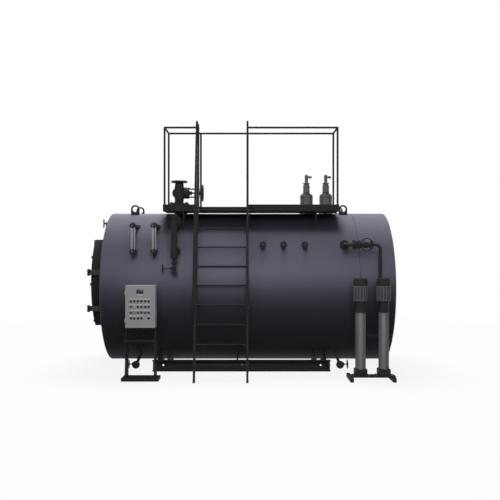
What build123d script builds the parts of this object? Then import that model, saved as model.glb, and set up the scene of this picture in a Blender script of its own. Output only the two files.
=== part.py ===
from build123d import *
import os
from math import cos, radians, sqrt, tan

# Horizontal fire-tube steam boiler on a channel skid, with a service platform,
# a ladder, two feed pumps and a control cabinet that stand beside it.
# Millimetres. X runs from the front smoke box to the rear, -Y is the ladder
# side, +Z is up and the floor is at z = 0.

# Shell: lagged pressure drum under a sheet jacket in two lengths
SHELL_RADIUS = 1050
SHELL_LENGTH = 3880
SHELL_CLEARANCE = 87
AXIS_HEIGHT = SHELL_RADIUS + SHELL_CLEARANCE
LAGGING = 90
DRUM_WALL = 14
REAR_JACKET_LENGTH = 469
JACKET_SEAM = 4
END_PLATE = 10
TUBE_PLATE_SETBACK = 150
TUBE_PLATE = 20
FURNACE_RADIUS = 300
FURNACE_WALL = 12
FURNACE_LENGTH = 2600
FURNACE_DROP = 20

# Front smoke box and its door: a round outline with a flat top and bottom
DOOR_MARGIN = 263
DOOR_RADIUS = SHELL_RADIUS - DOOR_MARGIN
DOOR_FLAT = 196
DOOR_HALF_HEIGHT = DOOR_RADIUS - DOOR_FLAT
DOOR_RISE = 73
SMOKE_BOX_DEPTH = 148
SMOKE_BOX_WALL = 12
DOOR_PLATE = 20
DOOR_SEAL = 0.3
BURNER_PLATE_RADIUS = 205
BURNER_PLATE = 22
UPPER_HINGE_RISE = 222
LOWER_HINGE_DROP = 262
HINGE_BRACKET_HEIGHT = 67
HINGE_EAR = 10
HINGE_BRACKET_WIDTH = 48
HINGE_SIDE_GAP = 9
HINGE_PIN_RADIUS = 12
HINGE_PIN_FIT = 0.05
HINGE_EYE_RADIUS = 21
HINGE_EYE_CLEARANCE = 2
HINGE_FORK_CLEARANCE = 6
STRAP_THICKNESS = 24
STRAP_REACH = 1340

# Rear end: bolted cover and flue outlet
REAR_COVER_RADIUS = 320
REAR_COVER = 40
REAR_COVER_DROP = 330
FLUE_RADIUS = 180
FLUE_WALL = 6
FLUE_LENGTH = 150
FLUE_RISE = 350
FLUE_FLANGE_RADIUS = 225
FLUE_FLANGE = 12
FLUE_BOLT_CIRCLE = 205
FLUE_BOLT_HOLE = 6
FLUE_BOLTS = 12

# Skid: two channels that open outwards, and three saddles of two plates
SKID_START = 634
SKID_SETBACK = 810
SKID_LENGTH = SHELL_LENGTH - SKID_START - SKID_SETBACK
SKID_INSET = 404
SKID_HALF_WIDTH = SHELL_RADIUS - SKID_INSET
CHANNEL_HEIGHT = 150
CHANNEL_FLANGE = 75
CHANNEL_WEB = 10
CHANNEL_FLANGE_THICKNESS = 12
SKID_HOLE_RADIUS = 13
FIRST_SADDLE_INSET = 142
LAST_SADDLE_INSET = 130
FIRST_SADDLE = SKID_START + FIRST_SADDLE_INSET
LAST_SADDLE = SKID_START + SKID_LENGTH - LAST_SADDLE_INSET
SADDLE_PLACES = (FIRST_SADDLE, (FIRST_SADDLE + LAST_SADDLE) / 2, LAST_SADDLE)
SADDLE_SPACING = 133
SADDLE_PLATE = 12
SADDLE_CLEARANCE = 55
SADDLE_INSET = 26

# Service platform beside the top of the shell
PLATFORM_START = 782
PLATFORM_SETBACK = 695
PLATFORM_LENGTH = SHELL_LENGTH - PLATFORM_START - PLATFORM_SETBACK
PLATFORM_INSET = 380
PLATFORM_FRONT = SHELL_RADIUS - PLATFORM_INSET
PLATFORM_BACK = 145
DECK_THICKNESS = 30
TOE_BOARD_HEIGHT = 62
TOE_BOARD = 8
FIRST_GUSSET_INSET = 281
LAST_GUSSET_INSET = 313
FIRST_GUSSET = PLATFORM_START + FIRST_GUSSET_INSET
LAST_GUSSET = PLATFORM_START + PLATFORM_LENGTH - LAST_GUSSET_INSET
GUSSET_PLACES = (FIRST_GUSSET, (FIRST_GUSSET + LAST_GUSSET) / 2, LAST_GUSSET)
GUSSET_PLATE = 12
GUSSET_INSET = 3
POST_RADIUS = 13.5
RAIL_RADIUS = 13.5

# Ladder with handrails, leaning back to the platform
LADDER_LEFT = 1265
LADDER_WIDTH = 671
LADDER_LEAN = 14.5
LADDER_CLEARANCE = 5
STRINGER_WIDTH = 27
STRINGER_DEPTH = 60
RUNG_RADIUS = 9
FIRST_RUNG = 208
RUNG_SPACING = 248
RUNG_COUNT = 8
HANDRAIL_RADIUS = 13.5
HANDRAIL_STANDOFF = 380
HANDRAIL_START = 1000
HANDRAIL_STAY_DROP = 100
HANDRAIL_TOP = 3356
LADDER_LUG = 12
LADDER_LUG_HEIGHT = 56

# Handwheels: shares of the stem radius and of the rim radius
HUB_SHARE = 2
HUB_DEPTH_SHARE = 3
SPOKE_SHARE = 0.7

# Main steam stop valve, flow upwards, stem level and pointing to the rear
STEAM_X = 938
STEAM_NECK_RADIUS = 58
STEAM_LOWER_FLANGE_RADIUS = 142.5
STEAM_LOWER_FLANGE = 24
STEAM_NECK = 126
STEAM_FACE_HEIGHT = SHELL_RADIUS + STEAM_NECK
STEAM_FACE_TO_FACE = 350
STEAM_BELLY_RADIUS = 72
STEAM_BULGE_RADIUS = 76
STEAM_BULGE_SHIFT = 28
STEAM_PORT_RADIUS = 50
STEAM_FLANGE_RADIUS = 117.5
STEAM_FLANGE = 24
STEAM_BOLT_CIRCLE = 95
STEAM_BOLT_HOLE = 11
STEAM_BOLTS = 8
BONNET_RADIUS = 60
BONNET_REACH = 70
BONNET_FLANGE_RADIUS = 82
BONNET_FLANGE = 34
YOKE_LENGTH = 132
YOKE_HALF_WIDTH = 67
YOKE_BAR = 18
YOKE_HEAD = 26
STEM_RADIUS = 12
STEM_FIT = 0.05
GLAND_RADIUS = 24
GLAND_LENGTH = 36
STEM_SOCKET = 18
STEM_END_GAP = 2
STEAM_STEM_REACH = 341
STEAM_WHEEL_RADIUS = 125
STEAM_WHEEL_RIM = 10
STEAM_WHEEL_DISH = 25

# Safety valves, each on a nozzle from the top of the shell
SAFETY_SETBACKS = (1089, 808)
SAFETY_PLACES = [SHELL_LENGTH - setback for setback in SAFETY_SETBACKS]
SAFETY_BASE_RADIUS = 92
SAFETY_BASE_HEIGHT = 260
SAFETY_BASE_TOP = SHELL_RADIUS + SAFETY_BASE_HEIGHT
SAFETY_SHOULDER = 30
SAFETY_SPRING_RADIUS = 48
SAFETY_SPRING_HEIGHT = 120
SAFETY_CROWN_RADIUS = 52
SAFETY_CROWN_HEIGHT = 32
SAFETY_CAP_RADIUS = 25
SAFETY_CAP_HEIGHT = 132
SAFETY_LEVER_REACH = 79
SAFETY_LEVER = 12
SAFETY_LEVER_DROP = 42

# Lifting lugs
LUG_FRONT = 335
LUG_SETBACK = 588
LUG_PLACES = (LUG_FRONT, SHELL_LENGTH - LUG_SETBACK)
LUG_OFFSET = 231
LUG_WIDTH = 121
LUG_THICKNESS = 20
LUG_HOLE_RADIUS = 38
LUG_NECK = 52
LUG_CENTRE_HEIGHT = SHELL_RADIUS + LUG_NECK

# Water level gauges and the level column, on stand-off nozzles
LEVEL_UPPER_DROP = 214
LEVEL_UPPER_RISE = SHELL_RADIUS - LEVEL_UPPER_DROP
LEVEL_LOWER_DROP = 546
LEVEL_LOWER_RISE = SHELL_RADIUS - LEVEL_LOWER_DROP
GAUGE_PLACES = (445, 720)
GAUGE_CLEARANCE = 10
GAUGE_STANDOFF = SHELL_RADIUS + GAUGE_CLEARANCE
COCK_RADIUS = 44
COCK_LENGTH = 60
COCK_PIPE_RADIUS = 17
GAUGE_FRAME_WIDTH = 56
GAUGE_FRAME_DEPTH = 34
COLUMN_X = 986
COLUMN_CLEARANCE = 73
COLUMN_STANDOFF = SHELL_RADIUS + COLUMN_CLEARANCE
COLUMN_RADIUS = 41
COLUMN_CAP_RADIUS = 58
COLUMN_CAP = 18
COLUMN_PIPE_RADIUS = 24
COLUMN_FLANGE_RADIUS = 64
COLUMN_FLANGE = 22
COLUMN_TOP_DROP = 85
COLUMN_TOP_RISE = SHELL_RADIUS - COLUMN_TOP_DROP
COLUMN_BASE_DROP = 636
COLUMN_BASE_RISE = SHELL_RADIUS - COLUMN_BASE_DROP
COLUMN_UPPER_DROP = 152
COLUMN_UPPER_RISE = SHELL_RADIUS - COLUMN_UPPER_DROP
COLUMN_LOWER_DROP = 552
COLUMN_LOWER_RISE = SHELL_RADIUS - COLUMN_LOWER_DROP
COLUMN_UPPER_BRANCH = 302
COLUMN_LOWER_BRANCH = 24
DRAIN_BALL_RADIUS = 34
DRAIN_BALL_DROP = 58
DRAIN_VALVE_DROP = 129
DRAIN_PIPE_RADIUS = 13
DRAIN_BODY_RADIUS = 28
DRAIN_BASE_DROP = 194
DRAIN_FLANGE_RADIUS = 45
DRAIN_FLANGE = 12
DRAIN_STEM_REACH = 150
DRAIN_STEM_RADIUS = 6
DRAIN_BONNET_RADIUS = 15
DRAIN_BONNET_REACH = 60
DRAIN_WHEEL_RADIUS = 58
DRAIN_WHEEL_RIM = 5

# Instrument stubs in line with the feed inlet
STUB_PLACES = (2138, 2413, 2694)
INLET_DROP = 460
INLET_RISE = SHELL_RADIUS - INLET_DROP
STUB_RADIUS = 26
STUB_CAP_RADIUS = 44
STUB_CAP = 22
STUB_LENGTH = 97

# Feed water line from the rear pump to the shell
FEED_SETBACK = 658
FEED_X = SHELL_LENGTH - FEED_SETBACK
FEED_CLEARANCE = 38
FEED_STANDOFF = SHELL_RADIUS + FEED_CLEARANCE
FEED_PIPE_RADIUS = 22
FEED_FLANGE_RADIUS = 63
FEED_FLANGE = 16
FEED_FLANGE_GAP = 39
CHECK_VALVE_START = 85
CHECK_VALVE_LENGTH = 52
CHECK_VALVE_RADIUS = 40
STOP_VALVE_START = 158
STOP_VALVE_LENGTH = 176
STOP_VALVE_RADIUS = 46
STOP_VALVE_NECK_RADIUS = 31
FEED_BONNET_RADIUS = 30
FEED_BONNET_REACH = 78
FEED_STEM_REACH = 120
FEED_STEM_RADIUS = 9
FEED_WHEEL_RADIUS = 86
FEED_WHEEL_RIM = 6

# Feed pumps on their base
PUMP_SETBACKS = (510, 216)
PUMP_PLACES = [SHELL_LENGTH - setback for setback in PUMP_SETBACKS]
PUMP_CLEARANCE = 260
PUMP_LINE = SHELL_RADIUS + PUMP_CLEARANCE
PUMP_BAR_OVERHANG = 140
PUMP_BAR_START = PUMP_PLACES[0] - PUMP_BAR_OVERHANG
PUMP_BAR_END = PUMP_PLACES[1] + PUMP_BAR_OVERHANG
PUMP_BAR_WIDTH = 40
PUMP_BAR_HEIGHT = 52
PUMP_BAR_REACH = 124
PUMP_BAR_FRONT = PUMP_LINE + PUMP_BAR_REACH
PUMP_BAR_LENGTH = 407
PUMP_PLATE = 20
PUMP_PLATE_WIDTH = 150
PUMP_FOOT_WIDTH = 152
PUMP_FOOT_DEPTH = 140
PUMP_FOOT_HEIGHT = 80
PUMP_SLEEVE_RADIUS = 66
PUMP_SLEEVE_HEIGHT = 714
PUMP_COUPLING_RADIUS = 60
PUMP_COUPLING_HEIGHT = 149
PUMP_MOTOR_RADIUS = 87
PUMP_MOTOR_HEIGHT = 190
PUMP_CAP_RADIUS = 84
PUMP_CAP_HEIGHT = 96
PUMP_PORT_HEIGHT = 116
PUMP_PORT_FLANGE_RADIUS = 36
PUMP_PORT_FLANGE = 14

# Blowdown valves under the shell, each with its wheel turned to the near end
BLOWDOWN_FRONT = 435
BLOWDOWN_SETBACK = 700
BLOWDOWN_PLACES = (BLOWDOWN_FRONT, SHELL_LENGTH - BLOWDOWN_SETBACK)
BLOWDOWN_SIDES = (-1, 1)
BLOWDOWN_INSET = 315
BLOWDOWN_LINE = SHELL_RADIUS - BLOWDOWN_INSET
BLOWDOWN_HEIGHT = 117
BLOWDOWN_BODY_RADIUS = 40
BLOWDOWN_FLANGE_RADIUS = 52
BLOWDOWN_FLANGE = 16
BLOWDOWN_PIPE_RADIUS = 20
BLOWDOWN_NOZZLE_INSET = 525
BLOWDOWN_NOZZLE_LINE = SHELL_RADIUS - BLOWDOWN_NOZZLE_INSET
BLOWDOWN_NOZZLE_SHIFT = 52
BLOWDOWN_NOZZLE_DEPTH = 56
BLOWDOWN_BONNET_RADIUS = 20
BLOWDOWN_BONNET_REACH = 62
BLOWDOWN_STEM_REACH = 104
BLOWDOWN_STEM_RADIUS = 7
BLOWDOWN_WHEEL_RADIUS = 60
BLOWDOWN_WHEEL_RIM = 5

# Control cabinet on its stand
CABINET_START = 386
CABINET_WIDTH = 381
CABINET_HEIGHT = 537
CABINET_BASE = 671
CABINET_CLEARANCE = 260
CABINET_FRONT = SHELL_RADIUS + CABINET_CLEARANCE
CABINET_DEPTH = 150
CABINET_SHEET = 4
CABINET_DOOR = 18
CABINET_DOOR_SEAL = 0.3
CABINET_HINGE_RADIUS = 6
CABINET_PIN_RADIUS = 3
CABINET_HINGE_GAP = 5
CABINET_LEAF = 3
CABINET_LEAF_DEPTH = 16
CABINET_HINGE_LENGTH = 50
CABINET_HINGE_INSET = 90
CABINET_HINGE_FIT = 0.05
STAND_LEG = 14
STAND_FOOT_OVERHANG = 45
STAND_FOOT_HEIGHT = 40
STAND_FOOT_REACH = 60
STAND_FOOT_FRONT = CABINET_FRONT + STAND_FOOT_REACH
STAND_FOOT_DEPTH = 240
STAND_FOOT_INSET = 15
STAND_TOP_DEPTH = 120
STAND_BAR_HEIGHT = 485
STAND_BAR = 25

# Air cock over the front door and drain stub at the rear
VENT_DROP = 161
VENT_RISE = SHELL_RADIUS - VENT_DROP
VENT_OFFSET = 470
VENT_RADIUS = 8
VENT_REACH = 62
VENT_LEVER = 118
VENT_LEVER_WIDTH = 14
STUB_DRAIN_INSET = 178
STUB_DRAIN_DROP = SHELL_RADIUS - STUB_DRAIN_INSET
STUB_DRAIN_OFFSET = 470
STUB_DRAIN_RADIUS = 14
STUB_DRAIN_LENGTH = 30


def block(low, high):
    """Rectangular block between its lowest and highest corners."""
    size = [upper - lower for lower, upper in zip(low, high)]
    middle = [(upper + lower) / 2 for lower, upper in zip(low, high)]
    return Pos(*middle) * Box(*size)


def rod(start, end, radius):
    """Round bar from one point to another."""
    run = Vector(*end) - Vector(*start)
    middle = (Vector(*end) + Vector(*start)) / 2
    return Plane(origin=middle, z_dir=run.normalized()) * Cylinder(radius, run.length)


def pipe_run(points, radius):
    """Round pipe through its points, with a ball at each corner."""
    run = rod(points[0], points[1], radius)
    for corner, after in zip(points[1:], points[2:]):
        run += Pos(*corner) * Sphere(radius)
        run += rod(corner, after, radius)
    return run


def across(x, y=0, z=AXIS_HEIGHT):
    """Plane square to the boiler: its first axis is Y and its second is Z."""
    return Plane(origin=(x, y, z), x_dir=(0, 1, 0), z_dir=(1, 0, 0))


def disc(x, radius, thickness, y=0, z=AXIS_HEIGHT):
    """Round plate that starts at x and is thick towards the rear."""
    return extrude(across(x, y, z) * Circle(radius), thickness)


def ring(x, radius, wall, length, y=0, z=AXIS_HEIGHT):
    """Straight tube along the boiler."""
    outline = Circle(radius) - Circle(radius - wall)
    return extrude(across(x, y, z) * outline, length)


def shell_rise(y):
    """Height of the jacket above the axis at a distance from the middle."""
    return sqrt(SHELL_RADIUS**2 - y**2)


def outside_shell(piece):
    """Trim a piece so that it seats on the round of the jacket."""
    return piece - disc(END_PLATE, SHELL_RADIUS, SHELL_LENGTH - 2 * END_PLATE)


def bolt_holes(circle, count, radius, depth):
    """Ring of drillings along Z, set half a step off the first axis."""
    return as_node(
        Rot(0, 0, (place + 0.5) * 360 / count) * Pos(circle, 0, depth / 2) * Cylinder(radius, depth)
        for place in range(count)
    )


def as_node(pieces):
    """Separate solids that share one node."""
    return Compound(children=list(pieces))


def shell_nodes():
    """Jackets, drum, end plates, front tube plate and furnace tube."""
    last = SHELL_LENGTH - END_PLATE
    seam = SHELL_LENGTH - REAR_JACKET_LENGTH
    drum_radius = SHELL_RADIUS - LAGGING
    mouth = across(0) * smoke_box_outline(SMOKE_BOX_WALL)
    furnace_height = AXIS_HEIGHT - FURNACE_DROP
    tube_plate = disc(TUBE_PLATE_SETBACK, drum_radius - DRUM_WALL, TUBE_PLATE)
    tube_plate -= disc(
        TUBE_PLATE_SETBACK, FURNACE_RADIUS, TUBE_PLATE, z=furnace_height
    )
    furnace_start = TUBE_PLATE_SETBACK
    furnace = ring(furnace_start, FURNACE_RADIUS, FURNACE_WALL, FURNACE_LENGTH, z=furnace_height)
    furnace_end = furnace_start + FURNACE_LENGTH - FURNACE_WALL
    furnace += disc(furnace_end, FURNACE_RADIUS, FURNACE_WALL, z=furnace_height)
    return {
        "main_jacket": ring(END_PLATE, SHELL_RADIUS, LAGGING, seam - END_PLATE),
        "rear_jacket": ring(seam + JACKET_SEAM, SHELL_RADIUS, LAGGING, last - seam - JACKET_SEAM),
        "pressure_drum": ring(END_PLATE, drum_radius, DRUM_WALL, last - END_PLATE),
        "front_end_plate": disc(0, SHELL_RADIUS, END_PLATE) - extrude(mouth, END_PLATE),
        "rear_end_plate": disc(last, SHELL_RADIUS, END_PLATE),
        "front_tube_plate": tube_plate,
        "furnace_tube": furnace,
    }


def smoke_box_outline(inset):
    """Round outline with a flat top and bottom, drawn about the boiler axis."""
    band = Rectangle(2 * DOOR_RADIUS, 2 * (DOOR_HALF_HEIGHT - inset))
    return Pos(0, DOOR_RISE) * (Circle(DOOR_RADIUS - inset) & band)


def hinge_heights():
    """Heights of the two door hinges above the floor."""
    return (AXIS_HEIGHT - LOWER_HINGE_DROP, AXIS_HEIGHT + UPPER_HINGE_RISE)


def door_pin():
    """Place of the vertical hinge pin of the front door."""
    door_face = SMOKE_BOX_DEPTH + DOOR_SEAL + DOOR_PLATE
    side = DOOR_RADIUS + HINGE_SIDE_GAP + HINGE_BRACKET_WIDTH / 2
    return (-door_face - HINGE_EYE_RADIUS - DOOR_SEAL, -side)


def front_door_nodes():
    """Smoke box, its door, the blanked burner opening and the hinges."""
    pin_x, pin_y = door_pin()
    door_back = -SMOKE_BOX_DEPTH - DOOR_SEAL
    door_face = door_back - DOOR_PLATE
    burner_height = AXIS_HEIGHT - FURNACE_DROP
    wall = smoke_box_outline(0) - smoke_box_outline(SMOKE_BOX_WALL)
    half_bracket = HINGE_BRACKET_HEIGHT / 2
    ear_gap = half_bracket - HINGE_EAR
    half_eye = ear_gap - HINGE_EYE_CLEARANCE
    bracket_side = HINGE_BRACKET_WIDTH / 2
    brackets = []
    straps = []
    for height in hinge_heights():
        bracket = block(
            (pin_x - bracket_side, pin_y - bracket_side, height - half_bracket),
            (0, pin_y + bracket_side, height + half_bracket),
        )
        fork_depth = HINGE_EYE_RADIUS + HINGE_FORK_CLEARANCE
        bracket -= block(
            (pin_x - HINGE_BRACKET_WIDTH, pin_y - HINGE_BRACKET_WIDTH, height - ear_gap),
            (pin_x + fork_depth, pin_y + HINGE_BRACKET_WIDTH, height + ear_gap),
        )
        bracket += Pos(pin_x, pin_y, height) * Cylinder(HINGE_PIN_RADIUS, HINGE_BRACKET_HEIGHT)
        brackets.append(bracket)
        strap = Pos(pin_x, pin_y, height) * Cylinder(HINGE_EYE_RADIUS, 2 * half_eye)
        strap += block(
            (door_face - STRAP_THICKNESS, pin_y, height - half_eye),
            (door_face, pin_y + STRAP_REACH, height + half_eye),
        )
        bore = HINGE_PIN_RADIUS + HINGE_PIN_FIT
        straps.append(strap - Pos(pin_x, pin_y, height) * Cylinder(bore, 2 * half_eye))
    return {
        "smoke_box": extrude(across(-SMOKE_BOX_DEPTH) * wall, SMOKE_BOX_DEPTH),
        "front_door": extrude(across(door_face) * smoke_box_outline(0), DOOR_PLATE),
        "burner_blank": disc(
            door_face - BURNER_PLATE, BURNER_PLATE_RADIUS, BURNER_PLATE, z=burner_height
        ),
        "door_straps": as_node(straps),
        "door_hinge_brackets": as_node(brackets),
    }


def rear_nodes():
    """Bolted cover and flanged flue outlet on the rear end."""
    cover_height = AXIS_HEIGHT - REAR_COVER_DROP
    flue_height = AXIS_HEIGHT + FLUE_RISE
    flue = ring(SHELL_LENGTH, FLUE_RADIUS, FLUE_WALL, FLUE_LENGTH, z=flue_height)
    flange = ring(
        SHELL_LENGTH + FLUE_LENGTH - FLUE_FLANGE,
        FLUE_FLANGE_RADIUS,
        FLUE_FLANGE_RADIUS - FLUE_RADIUS,
        FLUE_FLANGE,
        z=flue_height,
    )
    holes = across(SHELL_LENGTH + FLUE_LENGTH - FLUE_FLANGE, 0, flue_height) * bolt_holes(
        FLUE_BOLT_CIRCLE, FLUE_BOLTS, FLUE_BOLT_HOLE, FLUE_FLANGE
    )
    return {
        "rear_cover": disc(SHELL_LENGTH, REAR_COVER_RADIUS, REAR_COVER, z=cover_height),
        "flue_outlet": flue + flange - holes,
    }


def skid_nodes():
    """Channel beams and the saddles that carry the shell."""
    web_outer = SKID_HALF_WIDTH - CHANNEL_FLANGE
    web_inner = web_outer - CHANNEL_WEB
    skid_end = SKID_START + SKID_LENGTH
    beam = block((SKID_START, web_inner, 0), (skid_end, web_outer, CHANNEL_HEIGHT))
    for base in (0, CHANNEL_HEIGHT - CHANNEL_FLANGE_THICKNESS):
        beam += block(
            (SKID_START, web_inner, base),
            (skid_end, SKID_HALF_WIDTH, base + CHANNEL_FLANGE_THICKNESS),
        )
    saddles = []
    for place in SADDLE_PLACES:
        through = (place, web_inner - CHANNEL_WEB, CHANNEL_HEIGHT / 2)
        beam -= rod(through, (place, web_outer, CHANNEL_HEIGHT / 2), SKID_HOLE_RADIUS)
        for side in (-1, 1):
            low = place + side * SADDLE_SPACING / 2 - SADDLE_PLATE / 2
            high = low + SADDLE_PLATE
            half_top = SKID_HALF_WIDTH - SADDLE_INSET
            plate = block(
                (low, -web_inner, SADDLE_CLEARANCE), (high, web_inner, CHANNEL_HEIGHT)
            )
            plate += block(
                (low, -half_top, CHANNEL_HEIGHT),
                (high, half_top, AXIS_HEIGHT - shell_rise(half_top)),
            )
            saddles.append(outside_shell(plate))
    other_beam = mirror(beam, Plane.XZ)
    return {
        "skid_beams": as_node([beam, other_beam]),
        "saddles": as_node(saddles),
    }


def deck_height():
    """Underside of the platform, level with the top of the shell."""
    return AXIS_HEIGHT + SHELL_RADIUS


def rail_level():
    """Middle of the guard rails, which pass just under the handrail ends."""
    return HANDRAIL_TOP - HANDRAIL_RADIUS - RAIL_RADIUS


def post_rows():
    """Front and back lines of the guard posts, inside the toe boards."""
    inset = TOE_BOARD + POST_RADIUS
    return (-PLATFORM_FRONT + inset, -PLATFORM_BACK - inset)


def post_places():
    """End posts and the two posts at the ladder opening."""
    inset = TOE_BOARD + POST_RADIUS
    last = PLATFORM_START + PLATFORM_LENGTH
    return (PLATFORM_START + inset, LADDER_LEFT, LADDER_LEFT + LADDER_WIDTH, last - inset)


def platform_nodes():
    """Deck, gussets, toe boards, guard posts and guard rails."""
    under = deck_height()
    top = under + DECK_THICKNESS
    board_top = top + TOE_BOARD_HEIGHT
    level = rail_level()
    start = PLATFORM_START
    last = PLATFORM_START + PLATFORM_LENGTH
    front_row, back_row = post_rows()
    places = post_places()
    gap_start = LADDER_LEFT + STRINGER_WIDTH / 2
    gap_end = LADDER_LEFT + LADDER_WIDTH - STRINGER_WIDTH / 2
    gussets = []
    for place in GUSSET_PLACES:
        plate = block(
            (place - GUSSET_PLATE / 2, -PLATFORM_FRONT + GUSSET_INSET, AXIS_HEIGHT),
            (place + GUSSET_PLATE / 2, -PLATFORM_BACK - GUSSET_INSET, under),
        )
        gussets.append(outside_shell(plate))
    front = -PLATFORM_FRONT
    back = -PLATFORM_BACK
    side_boards = [
        block((start, front, top), (gap_start, front + TOE_BOARD, board_top)),
        block((gap_end, front, top), (last, front + TOE_BOARD, board_top)),
        block((start, back - TOE_BOARD, top), (last, back, board_top)),
    ]
    end_boards = [
        block((x, front + TOE_BOARD, top), (x + TOE_BOARD, back - TOE_BOARD, board_top))
        for x in (start, last - TOE_BOARD)
    ]
    side_rails = [
        rod((places[0], front_row, level), (places[1], front_row, level), RAIL_RADIUS),
        rod((places[2], front_row, level), (places[3], front_row, level), RAIL_RADIUS),
        rod((places[0], back_row, level), (places[3], back_row, level), RAIL_RADIUS),
    ]
    opening_posts = [
        rod((x, front_row, top), (x, front_row, HANDRAIL_TOP - HANDRAIL_RADIUS), POST_RADIUS)
        for x in places[1:3]
    ]
    rail_ends = as_node(opening_posts)
    side_rails = [rail - rail_ends for rail in side_rails]
    end_rails = [
        rod((x, front_row, level), (x, back_row, level), RAIL_RADIUS)
        - as_node(side_rails)
        for x in (places[0], places[3])
    ]
    posts = list(opening_posts)
    rails = as_node(side_rails + end_rails)
    feet = [(x, back_row) for x in places] + [(x, front_row) for x in (places[0], places[3])]
    for x, y in feet:
        posts.append(rod((x, y, top), (x, y, level), POST_RADIUS) - rails)
    return {
        "platform_deck": block((start, front, under), (last, back, top)),
        "platform_gussets": as_node(gussets),
        "toe_boards_sides": as_node(side_boards),
        "toe_boards_ends": as_node(end_boards),
        "guard_posts": as_node(posts),
        "guard_rails_sides": as_node(side_rails),
        "guard_rails_ends": as_node(end_rails),
    }


def ladder_line(height):
    """Middle of a ladder stringer at a height, as it passes just clear of the shell."""
    standoff = (SHELL_RADIUS + LADDER_CLEARANCE + STRINGER_DEPTH / 2) / cos(radians(LADDER_LEAN))
    return (height - AXIS_HEIGHT) * tan(radians(LADDER_LEAN)) - standoff


def ladder_height(line):
    """Height at which the middle of a ladder stringer reaches a line, from ladder_line."""
    return AXIS_HEIGHT + (line - ladder_line(AXIS_HEIGHT)) / tan(radians(LADDER_LEAN))


def handrail_line(height):
    """Middle of a handrail at a height, in front of the stringer."""
    return ladder_line(height) - HANDRAIL_STANDOFF


def ladder_nodes():
    """Stringers, rungs, top lugs and handrails of the ladder."""
    half_run = STRINGER_DEPTH / 2 / cos(radians(LADDER_LEAN))
    top = deck_height() + DECK_THICKNESS + TOE_BOARD_HEIGHT
    front_row = post_rows()[0]
    join = ladder_height(front_row)
    side = Polygon(
        (ladder_line(0) - half_run, 0),
        (ladder_line(0) + half_run, 0),
        (front_row, ladder_height(front_row - half_run)),
        (front_row, join + half_run / tan(radians(LADDER_LEAN))),
        align=None,
    )
    stringers = []
    lugs = []
    handrails = []
    lug_top = deck_height() + DECK_THICKNESS
    for x in (LADDER_LEFT, LADDER_LEFT + LADDER_WIDTH):
        gate_post = rod(
            (x, front_row, deck_height()), (x, front_row, HANDRAIL_TOP - HANDRAIL_RADIUS), POST_RADIUS
        )
        stringer = extrude(across(x - STRINGER_WIDTH / 2, 0, 0) * side, STRINGER_WIDTH)
        stringer -= gate_post
        stringers.append(stringer)
        lug = block(
            (x - LADDER_LUG / 2, ladder_line(top), lug_top - LADDER_LUG_HEIGHT),
            (x + LADDER_LUG / 2, -PLATFORM_FRONT, lug_top),
        )
        lugs.append(lug - stringer)
        stay_height = HANDRAIL_START - HANDRAIL_STAY_DROP
        rail = pipe_run(
            [
                (x, ladder_line(stay_height), stay_height),
                (x, handrail_line(HANDRAIL_START), HANDRAIL_START),
                (x, handrail_line(HANDRAIL_TOP), HANDRAIL_TOP),
                (x, front_row, HANDRAIL_TOP),
            ],
            HANDRAIL_RADIUS,
        )
        handrails.append(rail - stringer - gate_post)
    rungs = [
        rod(
            (LADDER_LEFT + STRINGER_WIDTH / 2, ladder_line(height), height),
            (LADDER_LEFT + LADDER_WIDTH - STRINGER_WIDTH / 2, ladder_line(height), height),
            RUNG_RADIUS,
        )
        for height in [FIRST_RUNG + RUNG_SPACING * step for step in range(RUNG_COUNT)]
    ]
    return {
        "ladder_stringers": as_node(stringers),
        "ladder_rungs": as_node(rungs),
        "ladder_lugs": as_node(lugs),
        "ladder_handrails": as_node(handrails),
    }


def stem_plane(centre, direction):
    """Plane at a valve's middle with its normal along the stem."""
    return Plane(origin=centre, z_dir=direction)


def stem_bore(radius, reach):
    """Bore for a stem, from near the mouth of a bonnet outwards."""
    depth = STEM_SOCKET + STEM_END_GAP
    return Pos(0, 0, reach - depth / 2) * Cylinder(radius + STEM_FIT, depth)


def bonnet(radius, reach):
    """Round bonnet from a valve's middle outwards, along +Z."""
    return Pos(0, 0, reach / 2) * Cylinder(radius, reach)


def wheel_and_stem(radius, rim, stem_radius, socket, reach, dish=0, spokes=4):
    """Handwheel on its stem, both one turning piece, along +Z.

    The stem starts inside the bonnet mouth at height socket and the rim lies
    in the plane at height reach; a dish sets the hub back towards the valve.
    """
    hub_level = reach - dish
    start = socket - STEM_SOCKET
    piece = rod((0, 0, start), (0, 0, reach + rim), stem_radius)
    piece += Pos(0, 0, hub_level) * Cylinder(stem_radius * HUB_SHARE, rim * HUB_DEPTH_SHARE)
    piece += Pos(0, 0, reach) * Torus(radius - rim, rim)
    inner = stem_radius * (1 + HUB_SHARE) / 2
    for turn in range(spokes):
        arm = rod((inner, 0, hub_level), (radius - rim, 0, reach), rim * SPOKE_SHARE)
        piece += Rot(0, 0, (turn + 0.5) * 360 / spokes) * arm
    return piece


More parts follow.
